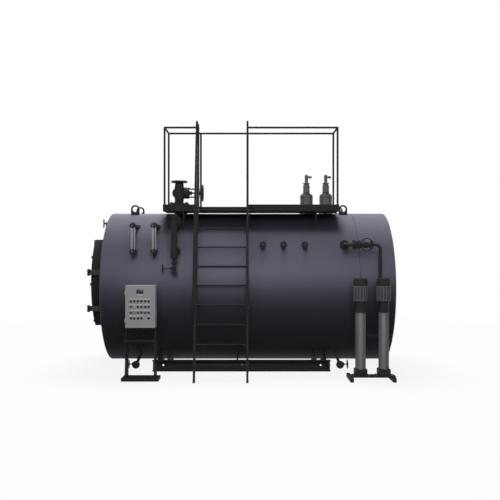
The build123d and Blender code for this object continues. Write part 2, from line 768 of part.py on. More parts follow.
def steam_nodes():
    """Steam nozzle, stop valve body, bonnet with yoke, and handwheel."""
    face = AXIS_HEIGHT + STEAM_FACE_HEIGHT
    top = STEAM_FACE_TO_FACE
    middle = top / 2
    lower = STEAM_LOWER_FLANGE
    centre = (STEAM_X, 0, face + middle)
    nozzle = Pos(STEAM_X, 0, face - lower / 2) * Cylinder(STEAM_LOWER_FLANGE_RADIUS, lower)
    nozzle += rod((STEAM_X, 0, AXIS_HEIGHT), (STEAM_X, 0, face - lower), STEAM_NECK_RADIUS)
    lower_side = Polyline(
        (0, 0),
        (STEAM_LOWER_FLANGE_RADIUS, 0),
        (STEAM_LOWER_FLANGE_RADIUS, lower),
        (STEAM_NECK_RADIUS, lower),
    )
    belly = ThreePointArc(
        (STEAM_NECK_RADIUS, lower),
        (STEAM_BELLY_RADIUS, middle),
        (STEAM_NECK_RADIUS, top - STEAM_FLANGE),
    )
    upper_side = Polyline(
        (STEAM_NECK_RADIUS, top - STEAM_FLANGE),
        (STEAM_FLANGE_RADIUS, top - STEAM_FLANGE),
        (STEAM_FLANGE_RADIUS, top),
        (0, top),
        (0, 0),
    )
    profile = make_face(Plane.XZ * (lower_side + belly + upper_side))
    body = Pos(STEAM_X, 0, face) * revolve(profile, Axis.Z)
    body += Pos(STEAM_X - STEAM_BULGE_SHIFT, 0, face + middle) * Sphere(STEAM_BULGE_RADIUS)
    side = stem_plane(centre, (1, 0, 0))
    flange_face = BONNET_REACH + BONNET_FLANGE
    body += side * (Pos(0, 0, flange_face / 2) * Cylinder(BONNET_RADIUS, flange_face))
    body += side * (
        Pos(0, 0, BONNET_REACH + BONNET_FLANGE / 2)
        * Cylinder(BONNET_FLANGE_RADIUS, BONNET_FLANGE)
    )
    body -= Pos(STEAM_X, 0, face + top - middle / 2) * Cylinder(STEAM_PORT_RADIUS, middle)
    body -= Pos(STEAM_X, 0, face + top - STEAM_FLANGE) * bolt_holes(
        STEAM_BOLT_CIRCLE, STEAM_BOLTS, STEAM_BOLT_HOLE, STEAM_FLANGE
    )
    yoke_base = flange_face + BONNET_FLANGE
    yoke_end = yoke_base + YOKE_LENGTH
    head_end = yoke_end + YOKE_HEAD
    upper = Pos(0, 0, flange_face + BONNET_FLANGE / 2) * Cylinder(
        BONNET_FLANGE_RADIUS, BONNET_FLANGE
    )
    upper += Pos(0, 0, yoke_base + GLAND_LENGTH / 2) * Cylinder(GLAND_RADIUS, GLAND_LENGTH)
    for turn in (0, 180):
        upper += Rot(0, 0, turn) * block(
            (YOKE_HALF_WIDTH - YOKE_BAR, -YOKE_BAR, yoke_base),
            (YOKE_HALF_WIDTH, YOKE_BAR, yoke_end),
        )
    upper += block((-YOKE_HALF_WIDTH, -YOKE_BAR, yoke_end), (YOKE_HALF_WIDTH, YOKE_BAR, head_end))
    gland_mouth = yoke_base + GLAND_LENGTH
    upper -= stem_bore(STEM_RADIUS, gland_mouth)
    upper -= Pos(0, 0, yoke_end + YOKE_HEAD / 2) * Cylinder(STEM_RADIUS + STEM_FIT, YOKE_HEAD)
    wheel = wheel_and_stem(
        STEAM_WHEEL_RADIUS,
        STEAM_WHEEL_RIM,
        STEM_RADIUS,
        gland_mouth,
        STEAM_STEM_REACH,
        STEAM_WHEEL_DISH,
    )
    return {
        "steam_nozzle": outside_shell(nozzle),
        "steam_valve_body": body,
        "steam_valve_bonnet": side * upper,
        "steam_valve_wheel": side * wheel,
    }


def safety_valve_nodes():
    """Two spring safety valves with their lifting levers."""
    bases = []
    springs = []
    for x in SAFETY_PLACES:
        shoulder = AXIS_HEIGHT + SAFETY_BASE_TOP
        base = rod((x, 0, AXIS_HEIGHT), (x, 0, shoulder), SAFETY_BASE_RADIUS)
        base += Pos(x, 0, shoulder + SAFETY_SHOULDER / 2) * Cone(
            SAFETY_BASE_RADIUS, SAFETY_SPRING_RADIUS, SAFETY_SHOULDER
        )
        bases.append(outside_shell(base))
        level = shoulder + SAFETY_SHOULDER
        spring = rod((x, 0, level), (x, 0, level + SAFETY_SPRING_HEIGHT), SAFETY_SPRING_RADIUS)
        level += SAFETY_SPRING_HEIGHT
        spring += Pos(x, 0, level + SAFETY_CROWN_HEIGHT / 2) * Cone(
            SAFETY_CAP_RADIUS, SAFETY_CROWN_RADIUS, SAFETY_CROWN_HEIGHT
        )
        level += SAFETY_CROWN_HEIGHT
        cap_top = level + SAFETY_CAP_HEIGHT - SAFETY_CAP_RADIUS
        spring += rod((x, 0, level), (x, 0, cap_top), SAFETY_CAP_RADIUS)
        spring += Pos(x, 0, cap_top) * Sphere(SAFETY_CAP_RADIUS)
        lever_level = level + SAFETY_CAP_HEIGHT - SAFETY_LEVER_DROP
        spring += block(
            (x, -SAFETY_LEVER / 2, lever_level - SAFETY_LEVER),
            (x + SAFETY_LEVER_REACH, SAFETY_LEVER / 2, lever_level + SAFETY_LEVER),
        )
        springs.append(spring)
    return {
        "safety_valve_bases": as_node(bases),
        "safety_valve_springs": as_node(springs),
    }


def lug_nodes():
    """Four lifting lugs, each a plate with a round head and a hole."""
    lugs = []
    for x in LUG_PLACES:
        for y in (-LUG_OFFSET, LUG_OFFSET):
            height = AXIS_HEIGHT + LUG_CENTRE_HEIGHT
            half = LUG_THICKNESS / 2
            lug = rod((x, y - half, height), (x, y + half, height), LUG_WIDTH / 2)
            lug += block(
                (x - LUG_WIDTH / 2, y - half, AXIS_HEIGHT),
                (x + LUG_WIDTH / 2, y + half, height),
            )
            lug -= rod((x, y - half, height), (x, y + half, height), LUG_HOLE_RADIUS)
            lugs.append(outside_shell(lug))
    return {"lifting_lugs": as_node(lugs)}


def level_nodes():
    """Two water gauges and the level column with its drain valve."""
    upper = AXIS_HEIGHT + LEVEL_UPPER_RISE
    lower = AXIS_HEIGHT + LEVEL_LOWER_RISE
    cocks = []
    frames = []
    for x in GAUGE_PLACES:
        pair = []
        for height in (lower, upper):
            cock = rod((x, -GAUGE_STANDOFF, height), (x, 0, height), COCK_PIPE_RADIUS)
            cock += rod(
                (x, -GAUGE_STANDOFF - COCK_LENGTH / 2, height),
                (x, -GAUGE_STANDOFF + COCK_LENGTH / 2, height),
                COCK_RADIUS,
            )
            pair.append(outside_shell(cock))
        frame = block(
            (x - GAUGE_FRAME_WIDTH / 2, -GAUGE_STANDOFF - GAUGE_FRAME_DEPTH, lower),
            (x + GAUGE_FRAME_WIDTH / 2, -GAUGE_STANDOFF, upper),
        )
        frames.append(frame - as_node(pair))
        cocks.extend(pair)
    column_top = AXIS_HEIGHT + COLUMN_TOP_RISE
    column_base = AXIS_HEIGHT + COLUMN_BASE_RISE
    y = -COLUMN_STANDOFF
    column = rod((COLUMN_X, y, column_base), (COLUMN_X, y, column_top), COLUMN_RADIUS)
    cap_start = (COLUMN_X, y, column_top - COLUMN_CAP)
    column += rod(cap_start, (COLUMN_X, y, column_top), COLUMN_CAP_RADIUS)
    for rise, branch in (
        (COLUMN_UPPER_RISE, COLUMN_UPPER_BRANCH),
        (COLUMN_LOWER_RISE, COLUMN_LOWER_BRANCH),
    ):
        height = AXIS_HEIGHT + rise
        flange = shell_rise(rise) + branch
        column += rod((COLUMN_X, y, height), (COLUMN_X, 0, height), COLUMN_PIPE_RADIUS)
        column += rod(
            (COLUMN_X, -flange, height),
            (COLUMN_X, -flange + COLUMN_FLANGE, height),
            COLUMN_FLANGE_RADIUS,
        )
    ball = column_base - DRAIN_BALL_DROP
    seat = column_base - DRAIN_VALVE_DROP
    base = column_base - DRAIN_BASE_DROP
    valve = rod((COLUMN_X, y, base), (COLUMN_X, y, column_base), DRAIN_PIPE_RADIUS)
    valve += Pos(COLUMN_X, y, ball) * Sphere(DRAIN_BALL_RADIUS)
    valve += Pos(COLUMN_X, y, seat) * Sphere(DRAIN_BODY_RADIUS)
    valve += rod((COLUMN_X, y, base), (COLUMN_X, y, base + DRAIN_FLANGE), DRAIN_FLANGE_RADIUS)
    side = stem_plane((COLUMN_X, y, seat), (-1, 0, 0))
    valve += side * bonnet(DRAIN_BONNET_RADIUS, DRAIN_BONNET_REACH)
    valve -= side * stem_bore(DRAIN_STEM_RADIUS, DRAIN_BONNET_REACH)
    wheel = wheel_and_stem(
        DRAIN_WHEEL_RADIUS,
        DRAIN_WHEEL_RIM,
        DRAIN_STEM_RADIUS,
        DRAIN_BONNET_REACH,
        DRAIN_STEM_REACH,
    )
    return {
        "gauge_cocks": as_node(cocks),
        "gauge_glasses": as_node(frames),
        "level_column": outside_shell(column),
        "column_drain_valve": valve,
        "column_drain_wheel": side * wheel,
    }


def inlet_nodes():
    """Instrument stubs, and the feed line with its check and stop valves."""
    height = AXIS_HEIGHT + INLET_RISE
    standoff = shell_rise(INLET_RISE) + STUB_LENGTH
    flange_line = shell_rise(INLET_RISE) + FEED_FLANGE_GAP
    stubs = []
    for x in STUB_PLACES:
        stub = rod((x, -standoff, height), (x, 0, height), STUB_RADIUS)
        cap_back = (x, -standoff + STUB_CAP, height)
        stub += rod((x, -standoff, height), cap_back, STUB_CAP_RADIUS)
        stubs.append(outside_shell(stub))
    y = -FEED_STANDOFF
    check_start = FEED_X + CHECK_VALVE_START
    check_end = check_start + CHECK_VALVE_LENGTH
    stop_start = FEED_X + STOP_VALVE_START
    stop_end = stop_start + STOP_VALVE_LENGTH
    nozzle = pipe_run(
        [(FEED_X, 0, height), (FEED_X, y, height), (check_start, y, height)], FEED_PIPE_RADIUS
    )
    nozzle += rod(
        (FEED_X, -flange_line, height),
        (FEED_X, -flange_line + FEED_FLANGE, height),
        FEED_FLANGE_RADIUS,
    )
    check = disc(check_start, CHECK_VALVE_RADIUS, stop_start - check_start, y, height)
    for x in (check_start, check_end - FEED_FLANGE):
        check += disc(x, FEED_FLANGE_RADIUS, FEED_FLANGE, y, height)
    stop_middle = (stop_start + stop_end) / 2
    stop = disc(stop_start, STOP_VALVE_NECK_RADIUS, STOP_VALVE_LENGTH, y, height)
    stop += Pos(stop_middle, y, height) * Sphere(STOP_VALVE_RADIUS)
    for x in (stop_start, stop_end - FEED_FLANGE):
        stop += disc(x, FEED_FLANGE_RADIUS, FEED_FLANGE, y, height)
    side = stem_plane((stop_middle, y, height), (0, -1, 0))
    stop += side * bonnet(FEED_BONNET_RADIUS, FEED_BONNET_REACH)
    stop -= side * stem_bore(FEED_STEM_RADIUS, FEED_BONNET_REACH)
    wheel = wheel_and_stem(
        FEED_WHEEL_RADIUS, FEED_WHEEL_RIM, FEED_STEM_RADIUS, FEED_BONNET_REACH, FEED_STEM_REACH
    )
    pump_x = PUMP_PLACES[1]
    port = -PUMP_LINE + PUMP_FOOT_DEPTH / 2 + PUMP_PORT_FLANGE
    pipe = pipe_run(
        [
            (stop_end, y, height),
            (pump_x, y, height),
            (pump_x, y, PUMP_PORT_HEIGHT),
            (pump_x, port, PUMP_PORT_HEIGHT),
        ],
        FEED_PIPE_RADIUS,
    )
    return {
        "instrument_stubs": as_node(stubs),
        "feed_nozzle": outside_shell(nozzle),
        "feed_check_valve": check,
        "feed_stop_valve": stop,
        "feed_valve_wheel": side * wheel,
        "feed_pipe": pipe,
    }


def pump_nodes():
    """Base, stage sleeves and motors of the two upright feed pumps."""
    plate_top = PUMP_BAR_HEIGHT + PUMP_PLATE
    bars = [
        block(
            (x, -PUMP_BAR_FRONT, 0),
            (x + PUMP_BAR_WIDTH, -PUMP_BAR_FRONT + PUMP_BAR_LENGTH, PUMP_BAR_HEIGHT),
        )
        for x in (PUMP_BAR_START, PUMP_BAR_END - PUMP_BAR_WIDTH)
    ]
    plate = block(
        (PUMP_BAR_START, -PUMP_LINE - PUMP_PLATE_WIDTH / 2, PUMP_BAR_HEIGHT),
        (PUMP_BAR_END, -PUMP_LINE + PUMP_PLATE_WIDTH / 2, plate_top),
    )
    stages = []
    motors = []
    for x in PUMP_PLACES:
        foot = block(
            (x - PUMP_FOOT_WIDTH / 2, -PUMP_LINE - PUMP_FOOT_DEPTH / 2, plate_top),
            (x + PUMP_FOOT_WIDTH / 2, -PUMP_LINE + PUMP_FOOT_DEPTH / 2, plate_top + PUMP_FOOT_HEIGHT),
        )
        back = -PUMP_LINE + PUMP_FOOT_DEPTH / 2
        foot += rod(
            (x, back, PUMP_PORT_HEIGHT), (x, back + PUMP_PORT_FLANGE, PUMP_PORT_HEIGHT),
            PUMP_PORT_FLANGE_RADIUS,
        )
        level = plate_top + PUMP_FOOT_HEIGHT
        sleeve_top = level + PUMP_SLEEVE_HEIGHT
        foot += rod((x, -PUMP_LINE, level), (x, -PUMP_LINE, sleeve_top), PUMP_SLEEVE_RADIUS)
        stages.append(foot)
        level = sleeve_top
        motor = None
        for radius, length in (
            (PUMP_COUPLING_RADIUS, PUMP_COUPLING_HEIGHT),
            (PUMP_MOTOR_RADIUS, PUMP_MOTOR_HEIGHT),
            (PUMP_CAP_RADIUS, PUMP_CAP_HEIGHT),
        ):
            section = rod((x, -PUMP_LINE, level), (x, -PUMP_LINE, level + length), radius)
            motor = section if motor is None else motor + section
            level += length
        motors.append(motor)
    return {
        "pump_base": bars[0] + bars[1] + plate,
        "pump_stages": as_node(stages),
        "pump_motors": as_node(motors),
    }


def blowdown_nodes():
    """Blowdown valves on slanted pipes, with their handwheels to the side."""
    valves = []
    nodes = {}
    for name, x, turn in zip(("front", "rear"), BLOWDOWN_PLACES, BLOWDOWN_SIDES):
        centre = (x, -BLOWDOWN_LINE, BLOWDOWN_HEIGHT)
        inside = (
            x - turn * BLOWDOWN_NOZZLE_SHIFT,
            -BLOWDOWN_NOZZLE_LINE,
            AXIS_HEIGHT - shell_rise(BLOWDOWN_NOZZLE_LINE) + BLOWDOWN_NOZZLE_DEPTH,
        )
        valve = rod(inside, centre, BLOWDOWN_PIPE_RADIUS)
        valve += Pos(*centre) * Sphere(BLOWDOWN_BODY_RADIUS)
        face = -BLOWDOWN_LINE - BLOWDOWN_BODY_RADIUS - BLOWDOWN_FLANGE
        valve += rod((x, face, BLOWDOWN_HEIGHT), centre, BLOWDOWN_PIPE_RADIUS)
        valve += rod(
            (x, face, BLOWDOWN_HEIGHT), (x, face + BLOWDOWN_FLANGE, BLOWDOWN_HEIGHT),
            BLOWDOWN_FLANGE_RADIUS,
        )
        side = stem_plane(centre, (turn, 0, 0))
        valve += side * bonnet(BLOWDOWN_BONNET_RADIUS, BLOWDOWN_BONNET_REACH)
        valve -= side * stem_bore(BLOWDOWN_STEM_RADIUS, BLOWDOWN_BONNET_REACH)
        valves.append(outside_shell(valve))
        nodes[f"blowdown_wheel_{name}"] = side * wheel_and_stem(
            BLOWDOWN_WHEEL_RADIUS,
            BLOWDOWN_WHEEL_RIM,
            BLOWDOWN_STEM_RADIUS,
            BLOWDOWN_BONNET_REACH,
            BLOWDOWN_STEM_REACH,
        )
    nodes["blowdown_valves"] = as_node(valves)
    return nodes


def cabinet_hinge():
    """Place of the vertical hinge line of the cabinet door."""
    side = CABINET_HINGE_GAP + CABINET_LEAF / 2
    return (CABINET_START - side, -CABINET_FRONT + CABINET_DOOR / 2)


def cabinet_nodes():
    """Hollow cabinet, its hinged door and the stand."""
    start = CABINET_START
    last = start + CABINET_WIDTH
    top = CABINET_BASE + CABINET_HEIGHT
    box_front = -CABINET_FRONT + CABINET_DOOR + CABINET_DOOR_SEAL
    box_back = -CABINET_FRONT + CABINET_DEPTH
    sheet = CABINET_SHEET
    body = block((start, box_front, CABINET_BASE), (last, box_back, top))
    body -= block(
        (start + sheet, box_front, CABINET_BASE + sheet), (last - sheet, box_back - sheet, top - sheet)
    )
    door = block((start, -CABINET_FRONT, CABINET_BASE), (last, -CABINET_FRONT + CABINET_DOOR, top))
    pin_x, pin_y = cabinet_hinge()
    half = CABINET_HINGE_LENGTH / 2
    for height in (CABINET_BASE + CABINET_HINGE_INSET, top - CABINET_HINGE_INSET):
        knuckle = rod((pin_x, pin_y, height - half), (pin_x, pin_y, height), CABINET_HINGE_RADIUS)
        knuckle += rod((pin_x, pin_y, height), (pin_x, pin_y, height + half), CABINET_PIN_RADIUS)
        leaf_back = box_front + CABINET_LEAF_DEPTH
        knuckle += block(
            (pin_x - CABINET_LEAF / 2, pin_y, height - half),
            (pin_x + CABINET_LEAF / 2, leaf_back, height),
        )
        knuckle += block((pin_x, box_front + CABINET_LEAF, height - half), (start, leaf_back, height))
        body += knuckle
        bottom = height + CABINET_DOOR_SEAL
        eye = rod((pin_x, pin_y, bottom), (pin_x, pin_y, height + half), CABINET_HINGE_RADIUS)
        eye += block(
            (pin_x, pin_y - CABINET_LEAF, bottom), (start, pin_y + CABINET_LEAF, height + half)
        )
        bore = CABINET_PIN_RADIUS + CABINET_HINGE_FIT
        door += eye
        door -= rod((pin_x, pin_y, bottom), (pin_x, pin_y, height + half), bore)
    foot_front = -STAND_FOOT_FRONT
    foot_back = foot_front + STAND_FOOT_DEPTH
    stand = block(
        (start - STAND_FOOT_OVERHANG, foot_front, 0),
        (last + STAND_FOOT_OVERHANG, foot_back, STAND_FOOT_HEIGHT),
    )
    side = Polygon(
        (foot_front + STAND_FOOT_INSET, STAND_FOOT_HEIGHT),
        (foot_back - STAND_FOOT_INSET, STAND_FOOT_HEIGHT),
        (box_back, CABINET_BASE),
        (box_back - STAND_TOP_DEPTH, CABINET_BASE),
        align=None,
    )
    for x in (start, last - STAND_LEG):
        stand += extrude(across(x, 0, 0) * side, STAND_LEG)
    bar_y = (foot_front + foot_back) / 2
    stand += block(
        (start, bar_y - STAND_BAR / 2, STAND_BAR_HEIGHT),
        (last, bar_y + STAND_BAR / 2, STAND_BAR_HEIGHT + STAND_BAR),
    )
    return {"cabinet_body": body, "cabinet_door": door, "cabinet_stand": stand}


def small_end_nodes():
    """Air cock over the front door and drain stub on the rear end."""
    vent = rod(
        (-VENT_REACH, -VENT_OFFSET, AXIS_HEIGHT + VENT_RISE),
        (0, -VENT_OFFSET, AXIS_HEIGHT + VENT_RISE),
        VENT_RADIUS,
    )
    vent += Pos(-VENT_REACH, -VENT_OFFSET, AXIS_HEIGHT + VENT_RISE) * Box(
        VENT_LEVER_WIDTH, VENT_LEVER_WIDTH, VENT_LEVER
    )
    drain_height = AXIS_HEIGHT - STUB_DRAIN_DROP
    return {
        "air_cock": vent,
        "rear_drain_stub": disc(
            SHELL_LENGTH, STUB_DRAIN_RADIUS, STUB_DRAIN_LENGTH, -STUB_DRAIN_OFFSET, drain_height
        ),
    }


nodes = {}
for group in (
    shell_nodes,
    front_door_nodes,
    rear_nodes,
    skid_nodes,
    platform_nodes,
    ladder_nodes,
    steam_nodes,
    safety_valve_nodes,
    lug_nodes,
    level_nodes,
    inlet_nodes,
    pump_nodes,
    blowdown_nodes,
    cabinet_nodes,
    small_end_nodes,
):
    nodes.update(group())

# The origin lies on the floor under the middle of the whole plant.
boxes = [shape.bounding_box() for shape in nodes.values()]
middle_x = (min(box.min.X for box in boxes) + max(box.max.X for box in boxes)) / 2
middle_y = (min(box.min.Y for box in boxes) + max(box.max.Y for box in boxes)) / 2
origin = Pos(-middle_x, -middle_y, 0)

os.makedirs("parts", exist_ok=True)
for name, shape in nodes.items():
    export_step(origin * shape, f"parts/{name}.step")
print("origin moved by", origin.position)
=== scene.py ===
"""Looks of a horizontal steam boiler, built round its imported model.

Places and sizes are millimetres from the shell's front end (x), its axis (y)
and the floor (z). spot() turns them into metres in the model's own frame.
"""

import logging
import math
from collections.abc import Callable, Iterable, Iterator, Sequence
from contextlib import contextmanager
from dataclasses import dataclass
from enum import Enum
from itertools import product

import bmesh
import bpy
from mathutils import Matrix, Vector


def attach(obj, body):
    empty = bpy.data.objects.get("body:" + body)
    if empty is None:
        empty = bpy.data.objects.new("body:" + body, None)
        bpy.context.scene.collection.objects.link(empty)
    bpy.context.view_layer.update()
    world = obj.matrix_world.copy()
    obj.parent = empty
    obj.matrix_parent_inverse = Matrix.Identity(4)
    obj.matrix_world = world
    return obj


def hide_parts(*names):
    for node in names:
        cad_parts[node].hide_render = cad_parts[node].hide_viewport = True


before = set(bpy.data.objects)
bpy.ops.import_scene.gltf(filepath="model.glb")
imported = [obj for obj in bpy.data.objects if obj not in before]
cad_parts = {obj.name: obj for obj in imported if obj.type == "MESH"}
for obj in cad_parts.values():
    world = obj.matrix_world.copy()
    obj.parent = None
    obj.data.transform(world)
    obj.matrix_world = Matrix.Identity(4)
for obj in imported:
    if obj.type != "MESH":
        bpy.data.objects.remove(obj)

log = logging.getLogger("boiler")

MM = 0.001
SHIFT = Vector((-1908.2, 249.814, 0.0))
AXIS = 1137.0
SHELL = 1050.0
LENGTH = 3880.0
SIDES = (-1, 1)
SHARP_EDGE = math.radians(40)
SMOOTH_EDGE = math.radians(35)
SAME_POINT = 0.00002
WHITE = (1.0, 1.0, 1.0, 1.0)
Pair = tuple[float, float]
Triple = tuple[float, float, float]
Row = tuple[float, ...]
Span = float | Sequence[float]
Colour = tuple[float, float, float, float]
Piece = bpy.types.Object
Tree = bpy.types.NodeTree
Socket = bpy.types.NodeSocket


def spot(x: float, y: float, z: float) -> Vector:
    """Turn a place in millimetres into metres in the model's frame."""
    return (Vector((x, y, z)) + SHIFT) * MM


def turned(angle: float, axis: str = "Z") -> Matrix:
    """Return a turn by an angle in degrees about an axis."""
    return Matrix.Rotation(math.radians(angle), 4, axis)


def circle(steps: int) -> list[Pair]:
    """Return the cosine and sine of each step round a circle."""
    turns = [2 * math.pi * step / steps for step in range(steps)]
    return [(math.cos(turn), math.sin(turn)) for turn in turns]


class Way(Enum):
    """Directions that pieces face."""

    REAR = (1.0, 0.0, 0.0)
    FRONT = (-1.0, 0.0, 0.0)
    NEAR = (0.0, -1.0, 0.0)
    FAR = (0.0, 1.0, 0.0)
    UP = (0.0, 0.0, 1.0)
    DOWN = (0.0, 0.0, -1.0)

    def at(self, x: Span, y: Span, z: Span, turn: float = 0.0) -> list[Matrix]:
        """Stand a piece's own Z axis along this direction, at every mix of some places.

        Args:
            x: Distance behind the shell's front end, one or several.
            y: Distance beyond the shell's axis, away from the ladder.
            z: Height above the floor.
            turn: Turn about the piece's own Z axis, in degrees.

        Returns:
            One matrix for each copy.
        """
        up = Vector(self.value)
        side = Vector((0.0, 1.0, 0.0) if up.x else (1.0, 0.0, 0.0))
        axes = Matrix((side, up.cross(side), up)).transposed().to_4x4() @ turned(turn)
        spans = [(span,) if isinstance(span, (int, float)) else span for span in (x, y, z)]
        return [Matrix.Translation(spot(*place)) @ axes for place in product(*spans)]

    def ring(
        self, x: Span, y: Span, z: Span, radius: float, count: int, start: float = 0.0
    ) -> list[Matrix]:
        """Seat copies evenly on bolt circles.

        Args:
            x, y, z: Middles of the circles, as in at().
            radius: Radius of a circle.
            count: Copies on each circle.
            start: Angle of the first copy, in degrees.

        Returns:
            One matrix for each copy.
        """
        out = Matrix.Translation((radius * MM, 0.0, 0.0))
        turns = [turned(start + 360.0 / count * number) @ out for number in range(count)]
        return [middle @ turn for middle in self.at(x, y, z) for turn in turns]


HERE = [Matrix()]


def clear() -> None:
    """Leave edit mode and select nothing."""
    if bpy.context.object is not None and bpy.context.object.mode == "EDIT":
        bpy.ops.object.mode_set(mode="OBJECT")
    bpy.ops.object.select_all(action="DESELECT")


def take(piece: Piece) -> None:
    """Select one piece alone and make it active.

    Args:
        piece: The piece to select.
    """
    clear()
    piece.select_set(True)
    bpy.context.view_layer.objects.active = piece


@contextmanager
def shaping(piece: Piece, side: int | None = None, reach: float = 0.9) -> Iterator[None]:
    """Open a piece in edit mode with the faces of one side selected, or all.

    Args:
        piece: The piece to shape.
        side: Number of the axis that the selected faces look along.
        reach: Least share of a selected face's normal along that axis.

    Yields:
        Nothing; the operators that follow shape the piece.
    """
    take(piece)
    bpy.ops.object.mode_set(mode="EDIT")
    bpy.ops.mesh.select_all(action="SELECT" if side is None else "DESELECT")
    if side is not None:
        net = bmesh.from_edit_mesh(piece.data)
        for face in net.faces:
            face.select = face.normal[side] > reach
        net.select_flush_mode()
        bmesh.update_edit_mesh(piece.data)
    yield
    bpy.ops.object.mode_set(mode="OBJECT")


def move_on(x: float, y: float, z: float) -> None:
    """Extrude what is selected by a step in millimetres."""
    step = (x * MM, y * MM, z * MM)
    bpy.ops.mesh.extrude_region_move(TRANSFORM_OT_translate={"value": step})


def soften(piece: Piece, width: float, segments: int = 2) -> Piece:
    """Round a piece's sharp edges and return the piece.

    Args:
        piece: The piece to change.
        width: Width of the rounding in millimetres.
        segments: Facets across it.

    Returns:
        The same piece.
    """
    take(piece)
    bevel = piece.modifiers.new("bevel", "BEVEL")
    bevel.width = width * MM
    bevel.segments = segments
    bevel.limit_method = "ANGLE"
    bevel.angle_limit = SHARP_EDGE
    bpy.ops.object.modifier_apply(modifier=bevel.name)
    return piece


def weld(pieces: Sequence[Piece]) -> Piece:
    """Join pieces into the first one, with their places in its mesh.

    Args:
        pieces: The pieces; all but the first are used up.

    Returns:
        The first piece, which holds them all.
    """
    clear()
    for piece in pieces:
        piece.select_set(True)
    bpy.context.view_layer.objects.active = pieces[0]
    if len(pieces) > 1:
        bpy.ops.object.join()
    bpy.ops.object.transform_apply(location=True, rotation=True, scale=True)
    return pieces[0]


def stamp(master: Piece, seats: Iterable[Matrix]) -> Piece:
    """Copy a piece to each seat, each copy with its own mesh, and join them.

    Args:
        master: The piece to copy; it is used up.
        seats: Where the copies go.

    Returns:
        The joined copies.
    """
    copies = []
    for matrix in seats:
        copy = master.copy()
        copy.data = master.data.copy()
        bpy.context.collection.objects.link(copy)
        copy.matrix_world = matrix @ master.matrix_world
        copies.append(copy)
    bpy.data.objects.remove(master)
    return weld(copies)


def block(seats: Iterable[Matrix], low: Triple, high: Triple, edge: float = 0.0) -> Piece:
    """Put a bar with rounded edges on each seat.

    Args:
        seats: Where the bars go; HERE for one that is shaped further.
        low: Lowest corner in the piece's own millimetres.
        high: Highest corner.
        edge: Width of the edge rounding.

    Returns:
        The joined bars.
    """
    clear()
    size = (Vector(high) - Vector(low)) * MM
    middle = (Vector(high) + Vector(low)) * MM / 2
    bpy.ops.mesh.primitive_cube_add(size=1, location=middle, scale=size)
    bar = weld([bpy.context.object])
    return stamp(soften(bar, edge) if edge else bar, seats)


def lathe(seats: Iterable[Matrix], steps: int, *profile: Pair) -> Piece:
    """Spin a profile about its own Z axis and put the turning on each seat.

    Args:
        seats: Where the turnings go; HERE for one that is shaped further.
        steps: Facets round the axis.
        profile: Radius and height of each point in millimetres; it closes on
            itself where it doesn't start on the axis.

    Returns:
        The joined turnings.
    """
    clear()
    bpy.ops.mesh.primitive_plane_add(size=1)
    piece = bpy.context.object
    radius, height = profile[0]
    with shaping(piece):
        bpy.ops.mesh.merge(type="CENTER")
        bpy.ops.transform.translate(value=(radius * MM, 0.0, height * MM))
        for next_radius, next_height in profile[1:] + profile[: radius > 0]:
            move_on(next_radius - radius, 0.0, next_height - height)
            radius, height = next_radius, next_height
        bpy.ops.mesh.select_all(action="SELECT")
        bpy.ops.mesh.spin(steps=steps, angle=2 * math.pi, center=(0, 0, 0), axis=(0, 0, 1))
        bpy.ops.mesh.select_all(action="SELECT")
        bpy.ops.mesh.remove_doubles(threshold=SAME_POINT)
        bpy.ops.mesh.normals_make_consistent(inside=False)
    return stamp(piece, seats)


def drum(sides: int, radius: float, depth: float, middle: float) -> Piece:
    """Add a prism of a radius and depth in millimetres, with its middle at a height.

    Args:
        sides: Faces round the prism.
        radius: Distance of its corners from the axis.
        depth: Its height.
        middle: Height of its middle.

    Returns:
        The new prism.
    """
    clear()
    bpy.ops.mesh.primitive_cylinder_add(
        vertices=sides, radius=radius * MM, depth=depth * MM, location=(0, 0, middle * MM)
    )
    return weld([bpy.context.object])


def nuts(seats: Iterable[Matrix], flats: float, height: float, stud: float = 0.0) -> Piece:
    """Put a hexagon nut on a washer, with the end of its stud, on each seat.

    Args:
        seats: Where the nuts stand.
        flats: Width across the flats in millimetres.
        height: Height of a nut with its washer.
        stud: Length of stud that stands out.

    Returns:
        The joined nuts.
    """
    washer = drum(12, flats * 0.62, height * 0.2, height * 0.1)
    nut = drum(6, flats / math.sqrt(3), height * 0.8, height * 0.6)
    with shaping(nut, 2):
        bpy.ops.mesh.inset(thickness=flats * 0.09 * MM, depth=flats * 0.05 * MM)
        if stud:
            bpy.ops.mesh.inset(thickness=flats * 0.15 * MM, depth=0)
            move_on(0, 0, stud)
    return stamp(weld([nut, washer]), seats)


def wire(points: Sequence[Vector], radius: float, ring: bool = False) -> Piece:
    """Make a round wire, rod or weld bead along a line.

    Args:
        points: Points of the line in metres.
        radius: Radius of the wire in millimetres.
        ring: Whether the line closes on itself.

    Returns:
        The new mesh.
    """
    clear()
    curve = bpy.data.curves.new("wire", "CURVE")
    curve.dimensions = "3D"
    curve.bevel_depth = radius * MM
    curve.bevel_resolution = 2
    curve.resolution_u = 2
    curve.use_fill_caps = not ring
    line = curve.splines.new("POLY")
    line.points.add(len(points) - 1)
    for knot, point in zip(line.points, points):
        knot.co = (*point, 1.0)
    line.use_cyclic_u = ring
    piece = bpy.data.objects.new("wire", curve)
    bpy.context.collection.objects.link(piece)
    take(piece)
    bpy.ops.object.convert(target="MESH")
    return bpy.context.object


def beads(traces: Iterable[Sequence[Vector]], radius: float, ring: bool = True) -> Piece:
    """Run a bead along each trace, closed unless told otherwise, and join them."""
    return weld([wire(trace, radius, ring) for trace in traces])


def bow(across: float) -> float:
    """Return how far the jacket's round reaches at a distance from its middle plane."""
    return math.sqrt(SHELL**2 - across**2)


